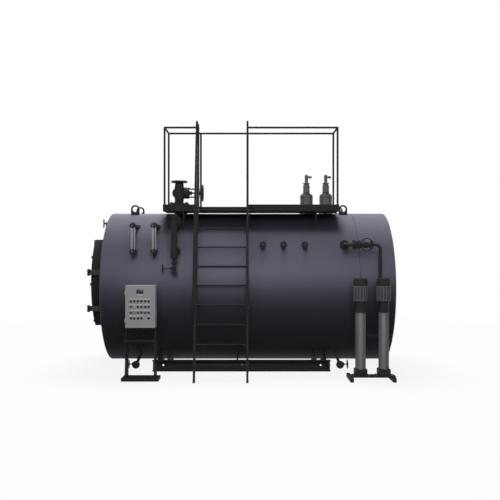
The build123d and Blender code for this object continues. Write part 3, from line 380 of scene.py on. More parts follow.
def on_shell(x: float, angle: float) -> Matrix:
    """Seat a piece on the jacket, at degrees from its top towards the ladder.

    Args:
        x: Distance behind the shell's front end.
        angle: Turn from the shell's top.

    Returns:
        The seat, with its Z axis away from the shell.
    """
    turn = turned(angle, "X")
    out = Matrix.Translation((0.0, 0.0, SHELL * MM))
    return Matrix.Translation(spot(x, 0, AXIS)) @ turn @ out


def linear(code: str, share: float = 1.0) -> Colour:
    """Turn an sRGB hex code into a linear colour.

    Args:
        code: Colour such as "#7F7F82".
        share: How much lighter or darker the result is.

    Returns:
        Linear red, green, blue and alpha.
    """
    parts = [int(code[place : place + 2], 16) / 255 for place in (1, 3, 5)]
    red, green, blue = (
        share * (part / 12.92 if part <= 0.04045 else ((part + 0.055) / 1.055) ** 2.4)
        for part in parts
    )
    return (red, green, blue, 1.0)


def wire_up(tree: Tree, node: bpy.types.Node, links: dict[str | int, object]) -> None:
    """Set or link a node's inputs.

    Args:
        tree: The material's node tree.
        node: The node to feed.
        links: Input name or number to a value or another node's output.
    """
    for entry, value in links.items():
        if isinstance(value, Socket):
            tree.links.new(value, node.inputs[entry])
        else:
            node.inputs[entry].default_value = value


def add_node(
    tree: Tree, kind: str, links: dict[str | int, object] | None = None, **settings: object
) -> bpy.types.Node:
    """Add a shader node with its settings and links.

    Args:
        tree: The material's node tree.
        kind: Node type, without the words that all types start with.
        links: Input name or number to a value or another node's output.
        settings: Properties of the node.

    Returns:
        The new node.
    """
    node = tree.nodes.new(f"ShaderNode{kind}")
    for name, value in settings.items():
        setattr(node, name, value)
    wire_up(tree, node, links or {})
    return node


@dataclass(frozen=True)
class Finish:
    """Moulded plastic or lacquer: even colour, fine spark texture, light gloss.

    Every finish has a broad pattern that varies its colour, and a fine one
    that gives its bump. Where fine_mm is 0, one pattern does both. Spark
    texture is finer than the 1.2 mm here, which is as coarse as it needs to
    show.
    """

    name: str
    slot: str
    colour: str
    roughness: float
    specular: float = 0.5
    metallic: float = 0.0
    broad_mm: float = 1.2
    broad_detail: float = 2.0
    broad_break: float = 0.5
    vary: float = 0.06
    gloss_vary: float = 0.0
    fine_mm: float = 0.0
    fine_detail: float = 2.0
    bump: float = 0.06
    bump_mm: float = 0.2
    over_code: str = ""
    over_range: Triple = (0.0, 1.0, 0.0)

    def material(self) -> bpy.types.Material:
        """Return this finish's material, made on first use.

        Returns:
            The material.
        """
        made = bpy.data.materials.get(self.name)
        if made is None:
            made = bpy.data.materials.new(self.name)
            made.use_nodes = True
            self.dress(made.node_tree)
        return made

    def place(self, tree: Tree) -> Socket:
        """Return the coordinates that the patterns lie on."""
        return add_node(tree, "TexCoord").outputs["Object"]

    def grain(self, tree: Tree, place: Socket) -> Socket:
        """Return the fine pattern."""
        links = {"Vector": place, "Scale": 1000 / self.fine_mm, "Detail": self.fine_detail}
        return add_node(tree, "TexNoise", links).outputs[0]

    def covered(self, tree: Tree, broad: Socket) -> Socket:
        """Return what says where the second colour lies over the first."""
        return broad

    def glossed(self, broad: Socket, fine: Socket) -> Socket:
        """Return the pattern that varies the gloss."""
        return broad

    def dress(self, tree: Tree) -> None:
        """Build the nodes of the finish.

        Args:
            tree: The material's node tree.
        """
        place = self.place(tree)
        broad = add_node(tree, "TexNoise", {
            "Vector": place, "Scale": 1000 / self.broad_mm, "Detail": self.broad_detail,
            "Roughness": self.broad_break,
        }).outputs[0]
        fine = self.grain(tree, place) if self.fine_mm else broad
        colour = add_node(tree, "Mix", {
            0: broad, 6: linear(self.colour, 1 - self.vary), 7: linear(self.colour, 1 + self.vary),
        }, data_type="RGBA").outputs[2]
        if self.over_code:
            start, end, most = self.over_range
            over = add_node(tree, "MapRange", {
                "Value": self.covered(tree, broad), "From Min": start, "From Max": end,
                "To Max": most,
            })
            colour = add_node(tree, "Mix", {
                0: over.outputs[0], 6: colour, 7: linear(self.over_code),
            }, data_type="RGBA").outputs[2]
        roughness = self.roughness
        if self.gloss_vary:
            roughness = add_node(tree, "MapRange", {
                "Value": self.glossed(broad, fine), "To Min": roughness - self.gloss_vary,
                "To Max": roughness + self.gloss_vary,
            }).outputs[0]
        bump = add_node(
            tree, "Bump", {"Height": fine, "Strength": self.bump, "Distance": self.bump_mm * MM}
        )
        wire_up(tree, tree.nodes["Principled BSDF"], {
            "Base Color": colour, "Roughness": roughness, "Normal": bump.outputs[0],
            "Metallic": self.metallic, "Specular IOR Level": self.specular,
        })


@dataclass(frozen=True)
class SheetPaint(Finish):
    """Polyester powder coat on rolled sheet: even, satin, with faint orange peel.

    The sheet was rolled in courses, so its colour drifts a little over half a
    metre, and settled dust dulls what faces up. Orange peel is 1 to 2 mm
    across, and is drawn at 5 mm so that it shows.
    """

    broad_mm: float = 520.0
    broad_detail: float = 4.0
    broad_break: float = 0.55
    vary: float = 0.07
    gloss_vary: float = 0.05
    fine_mm: float = 5.0
    bump: float = 0.12
    bump_mm: float = 0.4
    over_code: str = "#8C8B8F"
    over_range: Triple = (0.55, 1.0, 0.16)

    def covered(self, tree: Tree, broad: Socket) -> Socket:
        """Return how far a face looks up, for the dust."""
        normal = add_node(tree, "NewGeometry").outputs["Normal"]
        return add_node(tree, "SeparateXYZ", {0: normal}).outputs["Z"]


@dataclass(frozen=True)
class SectionPaint(Finish):
    """Brushed alkyd enamel on mill steel: dark, with scale showing as soft spots.

    The spots are as wide as a hand, and the gloss varies from one brush
    stroke, 28 mm wide, to the next.
    """

    broad_mm: float = 110.0
    broad_detail: float = 5.0
    broad_break: float = 0.6
    vary: float = 0.1
    gloss_vary: float = 0.08
    fine_mm: float = 28.0
    fine_detail: float = 3.0
    bump: float = 0.1
    bump_mm: float = 0.5
    over_code: str = "#56565A"
    over_range: Triple = (0.64, 0.74, 0.2)

    def glossed(self, broad: Socket, fine: Socket) -> Socket:
        """Return the fine pattern, which the brush left in the gloss."""
        return fine


@dataclass(frozen=True)
class CastPaint(Finish):
    """Painted sand casting: pebbled by the mould, with paint pooled in the hollows.

    The paint pools over 60 mm. Grains of moulding sand are under 1 mm, and are
    drawn at 3 mm so that they show.
    """

    broad_mm: float = 60.0
    broad_detail: float = 4.0
    broad_break: float = 0.6
    vary: float = 0.2
    gloss_vary: float = 0.1
    fine_mm: float = 3.0
    bump: float = 0.25
    bump_mm: float = 0.6

    def grain(self, tree: Tree, place: Socket) -> Socket:
        """Return the sand grains of the mould."""
        links = {"Vector": place, "Scale": 1000 / self.fine_mm}
        return add_node(tree, "TexVoronoi", links, feature="SMOOTH_F1").outputs["Distance"]


@dataclass(frozen=True)
class DrawnSteel(Finish):
    """Bare steel with a fine lay: streaks along its length and a soft metal sheen.

    The marks of drawing lie closer than the 2.5 mm here, which is as coarse as
    they need to show, and run fifty times as long.
    """

    metallic: float = 0.85
    broad_mm: float = 2.5
    vary: float = 0.14
    gloss_vary: float = 0.08
    bump: float = 0.1
    lay: Triple = (1.0, 1.0, 0.02)

    def place(self, tree: Tree) -> Socket:
        """Return coordinates that draw the pattern out along the lay."""
        place = super().place(tree)
        return add_node(tree, "Mapping", {"Vector": place, "Scale": self.lay}).outputs[0]


@dataclass(frozen=True)
class TurnedSteel(DrawnSteel):
    """Turned or plated steel: fine marks with no direction, drawn coarse to show."""

    broad_mm: float = 1.5
    lay: Triple = (1.0, 1.0, 1.0)


JACKET = SheetPaint("powder-coated jacket sheet", "jacket", "#71707E", 0.58, 0.05)
END_SHEET = SheetPaint("powder-coated end sheet", "jacket", "#6C6B78", 0.55, 0.08)
CABINET_COAT = SheetPaint(
    "light grey cabinet coat", "cabinet", "#CACACD", 0.45, 0.2, broad_mm=300.0
)
DOOR_PAINT = SectionPaint("heat-resistant door paint", "door", "#333433", 0.6, 0.06)
FRAME_PAINT = SectionPaint("dark enamel on sections", "frame", "#424244", 0.6, 0.04)
PLATE_STEEL = SectionPaint("boiler plate with scale", "drum", "#4A4644", 0.7, 0.3)
VALVE_PAINT = CastPaint("painted cast iron", "valve", "#3D3F3D", 0.55, 0.08)
SAFETY_PAINT = CastPaint("grey valve casting", "safety", "#868789", 0.5, 0.15)
HINGE_PAINT = CastPaint("grey hinge enamel", "frame", "#5C5D5C", 0.6, 0.06)
# Painted shade: the motor body between the fins is a darker copy of the grey motor paint, standing
# in for the shade between the fins.
MOTOR_PAINTED_SHADE = CastPaint("grey motor paint between the fins", "motor", "#5F6062", 0.55, 0.06)
MOTOR_PAINT = CastPaint("grey motor paint", "motor", "#808184", 0.5, 0.1)
DARK_CASTING = CastPaint("dark unpainted casting", "frame", "#383A38", 0.5, 0.1)
GAUGE_METAL = DrawnSteel("brushed gauge frame", "glass_frame", "#9FA09F", 0.5, metallic=0.15)
SLEEVE_STEEL = DrawnSteel("rolled stainless sleeve", "sleeve", "#8B8B86", 0.36, 0.05, 0.03)
ZINC = TurnedSteel("zinc-plated fasteners", "frame", "#6E7072", 0.45, metallic=0.5)
RUBBER = Finish("black rubber", "valve", "#1B1B1C", 0.7, 0.2)
RED_PAINT = Finish("red enamel", "door", "#7E1F22", 0.4, 0.4)
BLACK_PLASTIC = Finish("black moulding", "cabinet", "#1C1D1E", 0.45, 0.3)
WHITE_PLASTIC = Finish("white moulding", "cabinet", "#F6F6F4", 0.5, 0.4)
GREEN_LENS = Finish("green lens", "cabinet", "#2B5A3F", 0.3, 0.3)
RED_LENS = Finish("dark red lens", "cabinet", "#641C2A", 0.3, 0.3)
BROWN_LENS = Finish("brown lens", "cabinet", "#43302A", 0.3, 0.3)
YELLOW_LENS = Finish("yellow lens", "cabinet", "#B79A3A", 0.25, 0.5)
DISPLAY_GLASS = Finish("dark display window", "cabinet", "#101519", 0.12, 0.5)
GAUGE_GLASS = Finish("prismatic gauge glass", "glass_frame", "#0E1112", 0.15, 0.5)

NODE_FINISHES: dict[Finish, str] = {
    JACKET: "main_jacket rear_jacket",
    END_SHEET: "front_end_plate rear_end_plate",
    PLATE_STEEL: "pressure_drum front_tube_plate furnace_tube",
    DOOR_PAINT: "smoke_box front_door burner_blank door_straps rear_cover flue_outlet",
    HINGE_PAINT: "door_hinge_brackets",
    FRAME_PAINT: "skid_beams saddles platform_deck platform_gussets toe_boards_sides "
    "toe_boards_ends guard_posts guard_rails_sides guard_rails_ends ladder_stringers "
    "ladder_rungs ladder_lugs ladder_handrails lifting_lugs pump_base cabinet_stand",
    VALVE_PAINT: "steam_nozzle steam_valve_body steam_valve_bonnet steam_valve_wheel "
    "gauge_cocks level_column column_drain_valve column_drain_wheel instrument_stubs "
    "feed_nozzle feed_check_valve feed_stop_valve feed_valve_wheel feed_pipe "
    "blowdown_valves blowdown_wheel_front blowdown_wheel_rear air_cock rear_drain_stub",
    SAFETY_PAINT: "safety_valve_bases safety_valve_springs",
    GAUGE_METAL: "gauge_glasses",
    SLEEVE_STEEL: "pump_stages",
    MOTOR_PAINTED_SHADE: "pump_motors",
    CABINET_COAT: "cabinet_body cabinet_door",
}


def makes(name: str, finish: Finish, body: str = "boiler", *sizes: object) -> Callable:
    """Mark a method as the maker of a piece.

    Args:
        name: The piece's name.
        finish: Its surface finish.
        body: The body that it moves with.
        sizes: What the method is given for this piece.

    Returns:
        The decorator that marks the method.
    """

    def mark(maker: Callable) -> Callable:
        """Add the piece to those that the method makes."""
        maker.made = [(name, finish, body, sizes), *getattr(maker, "made", ())]
        return maker

    return mark


class Assembly:
    """A sub-assembly: each method marked with makes() gives one piece or more."""

    def build(self) -> None:
        """Make, dress and mount the pieces in the order of their methods."""
        for maker in vars(type(self)).values():
            for name, finish, body, sizes in getattr(maker, "made", ()):
                self.mount(maker(self, *sizes), name, finish, body)

    def mount(self, piece: Piece, name: str, finish: Finish, body: str) -> None:
        """Smooth, dress and mount a finished piece, and report it.

        Args:
            piece: The piece, with its place in its mesh.
            name: Its name.
            finish: Its surface finish.
            body: The body that it moves with.
        """
        take(piece)
        piece.name = piece.data.name = name
        bpy.ops.object.shade_smooth_by_angle(angle=SMOOTH_EDGE)
        piece.data.materials.clear()
        piece.data.materials.append(finish.material())
        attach(piece, body)
        log.info("%s: %d faces on %s", name, len(piece.data.polygons), body)


@dataclass
class JacketTrim(Assembly):
    """Screws, lap seam, sealing cord drawn black as painted seam shade, and pipe collars of the
    sheet jacket.
    """

    ring_rows: Row = (28, 3394, 3432, 3852)
    screws_each: int = 30
    seam: Pair = (3416, 3868)
    seam_angle: float = 126.5
    joint: float = 3413.5
    cord_radius: float = 1048.8
    cord_span: range = range(-75, 256, 3)
    collar: float = 7.0
    side_pipes: tuple[Triple, ...] = (
        (445, 1641, 17), (445, 1973, 17), (720, 1641, 17), (720, 1973, 17), (986, 1635, 24),
        (986, 2035, 24), (2138, 1727, 26), (2413, 1727, 26), (2694, 1727, 26), (3222, 1727, 22),
    )
    top_pipes: tuple[Pair, ...] = ((938, 58), (2791, 92), (3072, 92))

    @makes("jacket_screws", ZINC)
    def screws(self) -> Piece:
        """Pan-head screws in rings at the ends and the seam.

        Returns:
            The screws.
        """
        step, count = 360.0 / self.screws_each, range(self.screws_each)
        seats = [on_shell(x, step * number) for x in self.ring_rows for number in count]
        return lathe(seats, 10, (0, 3.4), (2.1, 3.2), (4.8, 2.2), (6, 0.8), (6, -1), (0, -1))

    @makes("jacket_lap_seam", JACKET)
    def lap_seam(self) -> Piece:
        """Lapped joint of the rear jacket sheet."""
        start, end = self.seam
        return block([on_shell(start, self.seam_angle)], (0, -12, -1), (end - start, 12, 1.6), 0.6)

    # Painted shade: the black cord darkens the seam gap between the two jacket lengths.
    @makes("jacket_seam_shade_cord", RUBBER)
    def shaded_seam_cord(self) -> Piece:
        """Sealing cord between the two jacket lengths, drawn black as painted shade of the seam
        gap; open where it isn't seen.

        Returns:
            The cord.
        """
        reach, turns = self.cord_radius, [math.radians(turn) for turn in self.cord_span]
        return wire([
            spot(self.joint, -reach * math.sin(turn), AXIS + reach * math.cos(turn))
            for turn in turns
        ], 2.6)

    @makes("jacket_pipe_collars", RUBBER)
    def collars(self) -> Piece:
        """Rubber collars where pipes come through the jacket.

        Returns:
            The collars.
        """
        traces = []
        for x, z, radius in self.side_pipes:
            ring = [((radius + self.collar) * a, (radius + self.collar) * b) for a, b in circle(32)]
            traces.append([spot(x + along, -bow(z - AXIS + up), z + up) for along, up in ring])
        for x, radius in self.top_pipes:
            ring = [((radius + self.collar) * a, (radius + self.collar) * b) for a, b in circle(32)]
            traces.append([spot(x + along, y, AXIS + bow(y)) for along, y in ring])
        return beads(traces, self.collar)


@dataclass
class EndPlates(Assembly):
    """Screws of both end sheets and the fittings of the rear end."""

    screws_round: tuple[float, int, float] = (1022, 28, 6)
    cover: Triple = (3920, 0, 807)
    cover_radius: float = 320.0
    flue_ends: Pair = (3881, 4017)
    flue: Pair = (1487, 182)

    @makes("end_sheet_screws", ZINC)
    def screws(self) -> Piece:
        """Hexagon screws round both end sheets."""
        seats = Way.FRONT.ring(0, 0, AXIS, *self.screws_round)
        return nuts(seats + Way.REAR.ring(LENGTH, 0, AXIS, *self.screws_round), 13, 6)

    @makes("rear_cover_ring", DOOR_PAINT)
    def cover_ring(self) -> Piece:
        """Raised rim and dished middle of the rear cleaning cover.

        Returns:
            The cover's ring.
        """
        shares = (
            (0, 6), (0.5, 8), (0.7, 4), (0.74, 0.5), (0.8, 0.5), (0.82, 9), (0.97, 9), (1, 6),
            (1, -2), (0, -2),
        )
        profile = [(self.cover_radius * share, rise) for share, rise in shares]
        return lathe(Way.REAR.at(*self.cover), 72, *profile)

    @makes("rear_cover_nuts", ZINC)
    def cover_nuts(self) -> Piece:
        """Nuts on the studs of the rear cover."""
        x, y, z = self.cover
        return nuts(Way.REAR.ring(x + 9, y, z, self.cover_radius * 0.9, 16, 11), 24, 14, 8)

    @makes("rear_cover_handles", DOOR_PAINT)
    def cover_handles(self) -> Piece:
        """Two bow handles on the rear cover.

        Returns:
            The handles.
        """
        x, _, z = self.cover
        shape = ((-55, 0), (-55, 34), (-44, 44), (44, 44), (55, 34), (55, 0))
        handles = [[spot(x + out, y + up, z) for up, out in shape] for y in (-120, 120)]
        return beads(handles, 8, False)

    @makes("flue_weld_beads", DOOR_PAINT)
    def flue_bead(self) -> Piece:
        """Weld beads at both ends of the flue pipe.

        Returns:
            The two beads.
        """
        z, radius = self.flue
        return beads([
            [spot(x, radius * across, z + radius * up) for across, up in circle(48)]
            for x in self.flue_ends
        ], 5)


@dataclass
class SmokeDoor(Assembly):
    """Clamp nuts, blanked burner opening, grips and red key bar of the front door."""

    face: float = -168.3
    rise: float = 1210.0
    clamp_reach: Pair = (757, 561)
    bead_reach: Pair = (725, 529)
    clamp_heights: Triple = (1559, 1196, 687)
    clamp_places: Row = (-420, -140, 140, 420)
    blank: Triple = (-190.3, 0, 1117)
    blank_circle: float = 182.0
    key: Pair = (-508, 1752)
    grips: tuple[Pair, ...] = ((560, 1450), (560, 960))
    hinge: Pair = (-189.6, -820)
    hinge_tops: Pair = (908.5, 1392.5)
    hinge_feet: Pair = (841.5, 1325.5)
    vent_place: Triple = (-62, -470, 2026)

    @makes("door_clamp_nuts", DOOR_PAINT, "smoke_door")
    def clamps(self) -> Piece:
        """Clamp nuts round the rim of the door.

        Returns:
            The nuts.
        """
        radius, flat = self.clamp_reach
        seats = Way.FRONT.at(self.face, self.clamp_places, (self.rise - flat, self.rise + flat))
        for z in self.clamp_heights:
            y = math.sqrt(radius**2 - (z - self.rise) ** 2)
            seats += Way.FRONT.at(self.face, (-y, y), z)
        return nuts(seats, 30, 18, 10)

    @makes("door_edge_bead", DOOR_PAINT, "smoke_door")
    def rim(self) -> Piece:
        """Stiffening bead just inside the edge of the door.

        Returns:
            The bead.
        """
        radius, flat = self.bead_reach
        return beads([[
            spot(self.face, radius * across, self.rise + max(-flat, min(flat, radius * up)))
            for across, up in circle(96)
        ]], 7)

    @makes("burner_blank_nuts", ZINC, "smoke_door")
    def blank_nuts(self) -> Piece:
        """Nuts that hold the blank on the burner opening."""
        return nuts(Way.FRONT.ring(*self.blank, self.blank_circle, 12, 15), 24, 14, 7)

    @makes("burner_blank_dish", DOOR_PAINT, "smoke_door")
    def blank_dish(self) -> Piece:
        """Raised middle of the blank."""
        profile = (0, 7), (120, 7), (132, 5), (138, 0.6), (150, 0.6), (152, -1), (0, -1)
        return lathe(Way.FRONT.at(*self.blank), 64, *profile)

    @makes("door_grips", DOOR_PAINT, "smoke_door")
    def door_grips(self) -> Piece:
        """Bow grips near the free edge of the door.

        Returns:
            The grips.
        """
        shape = ((-70, 0), (-70, 25), (-58, 34), (58, 34), (70, 25), (70, 0))
        return beads([
            [spot(self.face - out, y, z + up) for up, out in shape] for y, z in self.grips
        ], 9, False)

    @makes("door_red_key", RED_PAINT, "smoke_door")
    def key_bar(self) -> Piece:
        """Red bar that locks the top corner of the door."""
        return block(Way.FRONT.at(self.face, *self.key), (-13, -41, 0), (13, 41, 18), 3)

    @makes("door_hinge_caps", HINGE_PAINT)
    def hinge_caps(self) -> Piece:
        """Nuts on the ends of the hinge pins."""
        seats = Way.UP.at(*self.hinge, self.hinge_tops) + Way.DOWN.at(*self.hinge, self.hinge_feet)
        return nuts(seats, 32, 12)

    @makes("air_cock_fittings", RUBBER)
    def vent(self) -> Piece:
        """Round body, spout and grip of the air cock.

        Returns:
            The parts of the cock.
        """
        x, y, z = self.vent_place
        profile = (0, 0), (13, 0), (19, 7), (20, 15), (17, 25), (10, 30), (0, 30)
        parts = [lathe(Way.FRONT.at(x + 52, y, z), 28, *profile)]
        for radius, line in (
            (8, ((36, 0), (34, -34), (28, -46))),
            (10, [(1, 10 * step - 30) for step in range(9)]),
            (9, ((20, -4), (-2, 12))),
        ):
            parts.append(wire([spot(x + out, y, z + up) for out, up in line], radius))
        return weld(parts)


@dataclass
class ControlCabinet(Assembly):
    """Lamps, switches, display, label plates, lock, louvres and glands."""

    face: float = -1310.0
    middle: float = -1226.0
    sides: Pair = (386, 767)
    foot: float = 671.0
    columns: Row = (457.1, 502.4, 547.7, 593.0, 638.3, 683.6)
    rows: Row = (1009, 937, 865, 793)
    lamps: tuple[str, ...] = ("GMRRRR", "GWRRRR", "GYGGGK", "RDKK.K")
    bezel_radius: float = 16.5
    lens_radius: float = 12.5
    plate_half: Pair = (16.5, 9)
    plate_rise: float = 26.5
    display: Pair = (572.5, 1130)
    display_half: Pair = (44.5, 25)
    display_plates: tuple[Pair, ...] = ((553.5, 1089), (591.5, 1089))
    fold: tuple[Pair, ...] = ((390, 675), (763, 675), (763, 1204), (390, 1204))
    lock_place: float = 748.0
    lock_heights: Pair = (1090, 790)
    louvre_rows: range = range(760, 871, 22)
    gland_places: range = range(440, 681, 60)

    def seats(self, letters: str, rise: float = 0.0) -> list[Matrix]:
        """Seats of the lamps with any of these letters, or over them.

        Args:
            letters: Letters of the lamps.
            rise: Height of the seats over the lamps' middles.

        Returns:
            One matrix for each lamp.
        """
        return [
            seat for z, row in zip(self.rows, self.lamps) for x, letter in zip(self.columns, row)
            if letter in letters for seat in Way.NEAR.at(x, self.face, z + rise)
        ]

    @makes("lamp_bezels", BLACK_PLASTIC, "control_door")
    def bezels(self) -> Piece:
        """Round bezels of lamps and switches.

        Returns:
            The bezels.
        """
        outer, inner = self.bezel_radius, self.lens_radius
        return lathe(
            self.seats("GRMYWK"), 28, (inner, 2), (inner, 6.5), (inner + 1.5, 7), (outer - 1, 5),
            (outer, 3.5), (outer, 0), (inner, 0),
        )

    @makes("green_lamps", GREEN_LENS, "control_door", "G")
    @makes("red_lamps", RED_LENS, "control_door", "R")
    @makes("brown_lamp", BROWN_LENS, "control_door", "M")
    @makes("yellow_lamp", YELLOW_LENS, "control_door", "Y")
    @makes("white_switch", WHITE_PLASTIC, "control_door", "W")
    @makes("black_buttons", BLACK_PLASTIC, "control_door", "K")
    def lenses(self, letter: str) -> Piece:
        """Domed lenses of one colour.

        Args:
            letter: Letter of the lamps with this colour.

        Returns:
            The lenses.
        """
        radius = self.lens_radius
        return lathe(
            self.seats(letter), 28, (0, 12), (radius * 0.5, 11.5), (radius * 0.85, 10),
            (radius, 7.5), (radius, 0), (0, 0),
        )

    @makes("label_plates", WHITE_PLASTIC, "control_door")
    def plates(self) -> Piece:
        """Bare label plates over the lamps and under the display.

        Returns:
            The plates.
        """
        across, up = self.plate_half
        seats = self.seats("GRMYWKD", self.plate_rise)
        for x, z in self.display_plates:
            seats += Way.NEAR.at(x, self.face, z)
        return block(seats, (-across, -up, 0), (across, up, 1.5), 0.5)

    @makes("display_bezel", BLACK_PLASTIC, "control_door")
    def display_bezel(self) -> Piece:
        """Frame of the display, inset round its window.

        Returns:
            The frame.
        """
        across, up = self.display_half
        bezel = block(HERE, (-across, -up, 0), (across, up, 7))
        with shaping(bezel, 2):
            bpy.ops.mesh.inset(thickness=7 * MM, depth=0)
            bpy.ops.mesh.inset(thickness=1 * MM, depth=-3 * MM)
        return stamp(soften(bezel, 1.2), self.display_seats())

    def display_seats(self) -> list[Matrix]:
        """Seat of the display."""
        return Way.NEAR.at(self.display[0], self.face, self.display[1])

    @makes("display_glass", DISPLAY_GLASS, "control_door")
    def display_glass(self) -> Piece:
        """Dark window of the display."""
        across, up = (half - 9 for half in self.display_half)
        return block(self.display_seats(), (-across, -up, 3), (across, up, 5), 0.4)

    @makes("start_button", GREEN_LENS, "control_door", 1, 17)
    @makes("stop_button", RED_LENS, "control_door", -17, -1)
    def half_button(self, low: float, high: float) -> Piece:
        """One half of the double push button."""
        seats = Way.NEAR.at(self.columns[1], self.face, self.rows[3] - 4)
        return block(seats, (-12, low, 0), (12, high, 9), 2)

    @makes("door_lock", CABINET_COAT, "control_door")
    def lock(self) -> Piece:
        """Quarter-turn locks at the free edge of the door."""
        profile = (0, 4), (4, 4), (5, 2.5), (7, 2.5), (8, 5), (10, 4), (11, 0), (0, 0)
        return lathe(Way.NEAR.at(self.lock_place, self.face, self.lock_heights), 28, *profile)

    @makes("door_fold", CABINET_COAT, "control_door")
    def door_seam(self) -> Piece:
        """Folded return along the four edges of the door."""
        return beads([[spot(x, self.face + 3, z) for x, z in self.fold]], 3.4)

    @makes("side_louvres", CABINET_COAT)
    def louvres(self) -> Piece:
        """Pressed louvres on both sides of the cabinet.

        Returns:
            The louvres.
        """
        left, right = self.sides
        seats = Way.FRONT.at(left, self.middle, self.louvre_rows)
        seats += Way.REAR.at(right, self.middle, self.louvre_rows)
        return block(seats, (-45, -6, 0), (45, 6, 5), 2.4)

    @makes("cable_glands", BLACK_PLASTIC)
    def glands(self) -> Piece:
        """Blanked cable glands under the cabinet.

        Returns:
            The glands.
        """
        return lathe(
            Way.DOWN.at(self.gland_places, self.middle, self.foot), 20, (0, 26), (9, 26),
            (12, 22), (12, 14), (16, 13), (16, 4), (19, 3), (19, 0), (0, 0),
        )


@dataclass
class Platform(Assembly):
    """Tread pattern, bolts, post collars and weld beads of the platform."""

    ends: Pair = (782, 3185)
    front: float = -670.0
    back: float = -145.0
    deck: float = 2217.0
    under: float = 2187.0
    rail: float = 3329.0
    rail_half: float = 14.5
    gusset_faces: Row = (1057, 1069, 1961.5, 1973.5, 2866, 2878)
    tear_pitch: Pair = (62, 31)
    end_posts: Pair = (803.5, 3163.5)
    gate_posts: Pair = (1265, 1936)
    post_rows: Pair = (-648.5, -166.5)
    bolt_height: float = 2235.0
    near_bolts: Row = (820, 1030, 1240, 1965, 2201, 2437, 2673, 2909, 3145)
    far_bolts: Row = (820, 1110.625, 1401.25, 1691.875, 1982.5, 2273.125, 2563.75, 2854.375, 3145)
    end_bolts: Triple = (-600, -407, -215)

    @makes("deck_tread_tears", FRAME_PAINT)
    def tears(self) -> Piece:
        """Raised almond-shaped tears of the deck's tread plate.

        Returns:
            The tears.
        """
        tear = block(HERE, (-13, -4, -0.5), (13, 4, 2.0))
        with shaping(tear, 2):
            bpy.ops.transform.resize(value=(0.55, 0.3, 1.0))
        (start, end), (long_step, short_step) = self.ends, self.tear_pitch
        seats = []
        for row in range(int((self.back - self.front - 40) / short_step)):
            for column in range(int((end - start - 70) / long_step)):
                x = start + 40 + long_step * (column + 0.5 * (row % 2))
                y = self.front + 34 + short_step * row
                seats += Way.UP.at(x, y, self.deck, 45 if (row + column) % 2 else -45)
        return stamp(tear, seats)

    @makes("toe_board_bolts", FRAME_PAINT)
    def toe_bolts(self) -> Piece:
        """Bolt heads along the foot of the toe boards.

        Returns:
            The bolt heads.
        """
        start, end = self.ends
        seats = Way.NEAR.at(self.near_bolts, self.front, self.bolt_height)
        seats += Way.FAR.at(self.far_bolts, self.back, self.bolt_height)
        seats += Way.FRONT.at(start, self.end_bolts, self.bolt_height)
        return nuts(seats + Way.REAR.at(end, self.end_bolts, self.bolt_height), 16, 8)

    @makes("post_foot_collars", FRAME_PAINT)
    def post_collars(self) -> Piece:
        """Collars where the posts stand on the deck."""
        seats = Way.UP.at(self.end_posts + self.gate_posts, self.post_rows, self.deck)
        return lathe(seats, 24, (13, 0), (21, 0), (21, 4), (16, 10), (13, 10))

    @makes("rail_weld_beads", FRAME_PAINT)
    def rail_beads(self) -> Piece:
        """Weld beads where posts and rails meet.

        Returns:
            The beads.
        """
        (left, right), (near, far) = self.gate_posts, self.post_rows
        seats = Way.UP.at(self.end_posts, self.post_rows, self.rail - self.rail_half)
        seats += Way.UP.at(self.gate_posts, far, self.rail - self.rail_half)
        seats += Way.REAR.at((left - self.rail_half, right + self.rail_half), near, self.rail)
        return lathe(seats, 20, (13, -2), (15, 0), (13, 2))

    @makes("gusset_weld_beads", FRAME_PAINT)
    def gusset_beads(self) -> Piece:
        """Weld beads of the gussets along the jacket and under the deck.

        Returns:
            The beads.
        """
        near, far = self.front + 5, self.back - 5
        places = [near + (far - near) * step / 12 for step in range(13)]
        arcs = [[spot(x, y, AXIS + bow(y)) for y in places] for x in self.gusset_faces]
        lines = [[spot(x, y, self.under) for y in (near + 1, far - 1)] for x in self.gusset_faces]
        return beads(arcs + lines, 3.5, False)


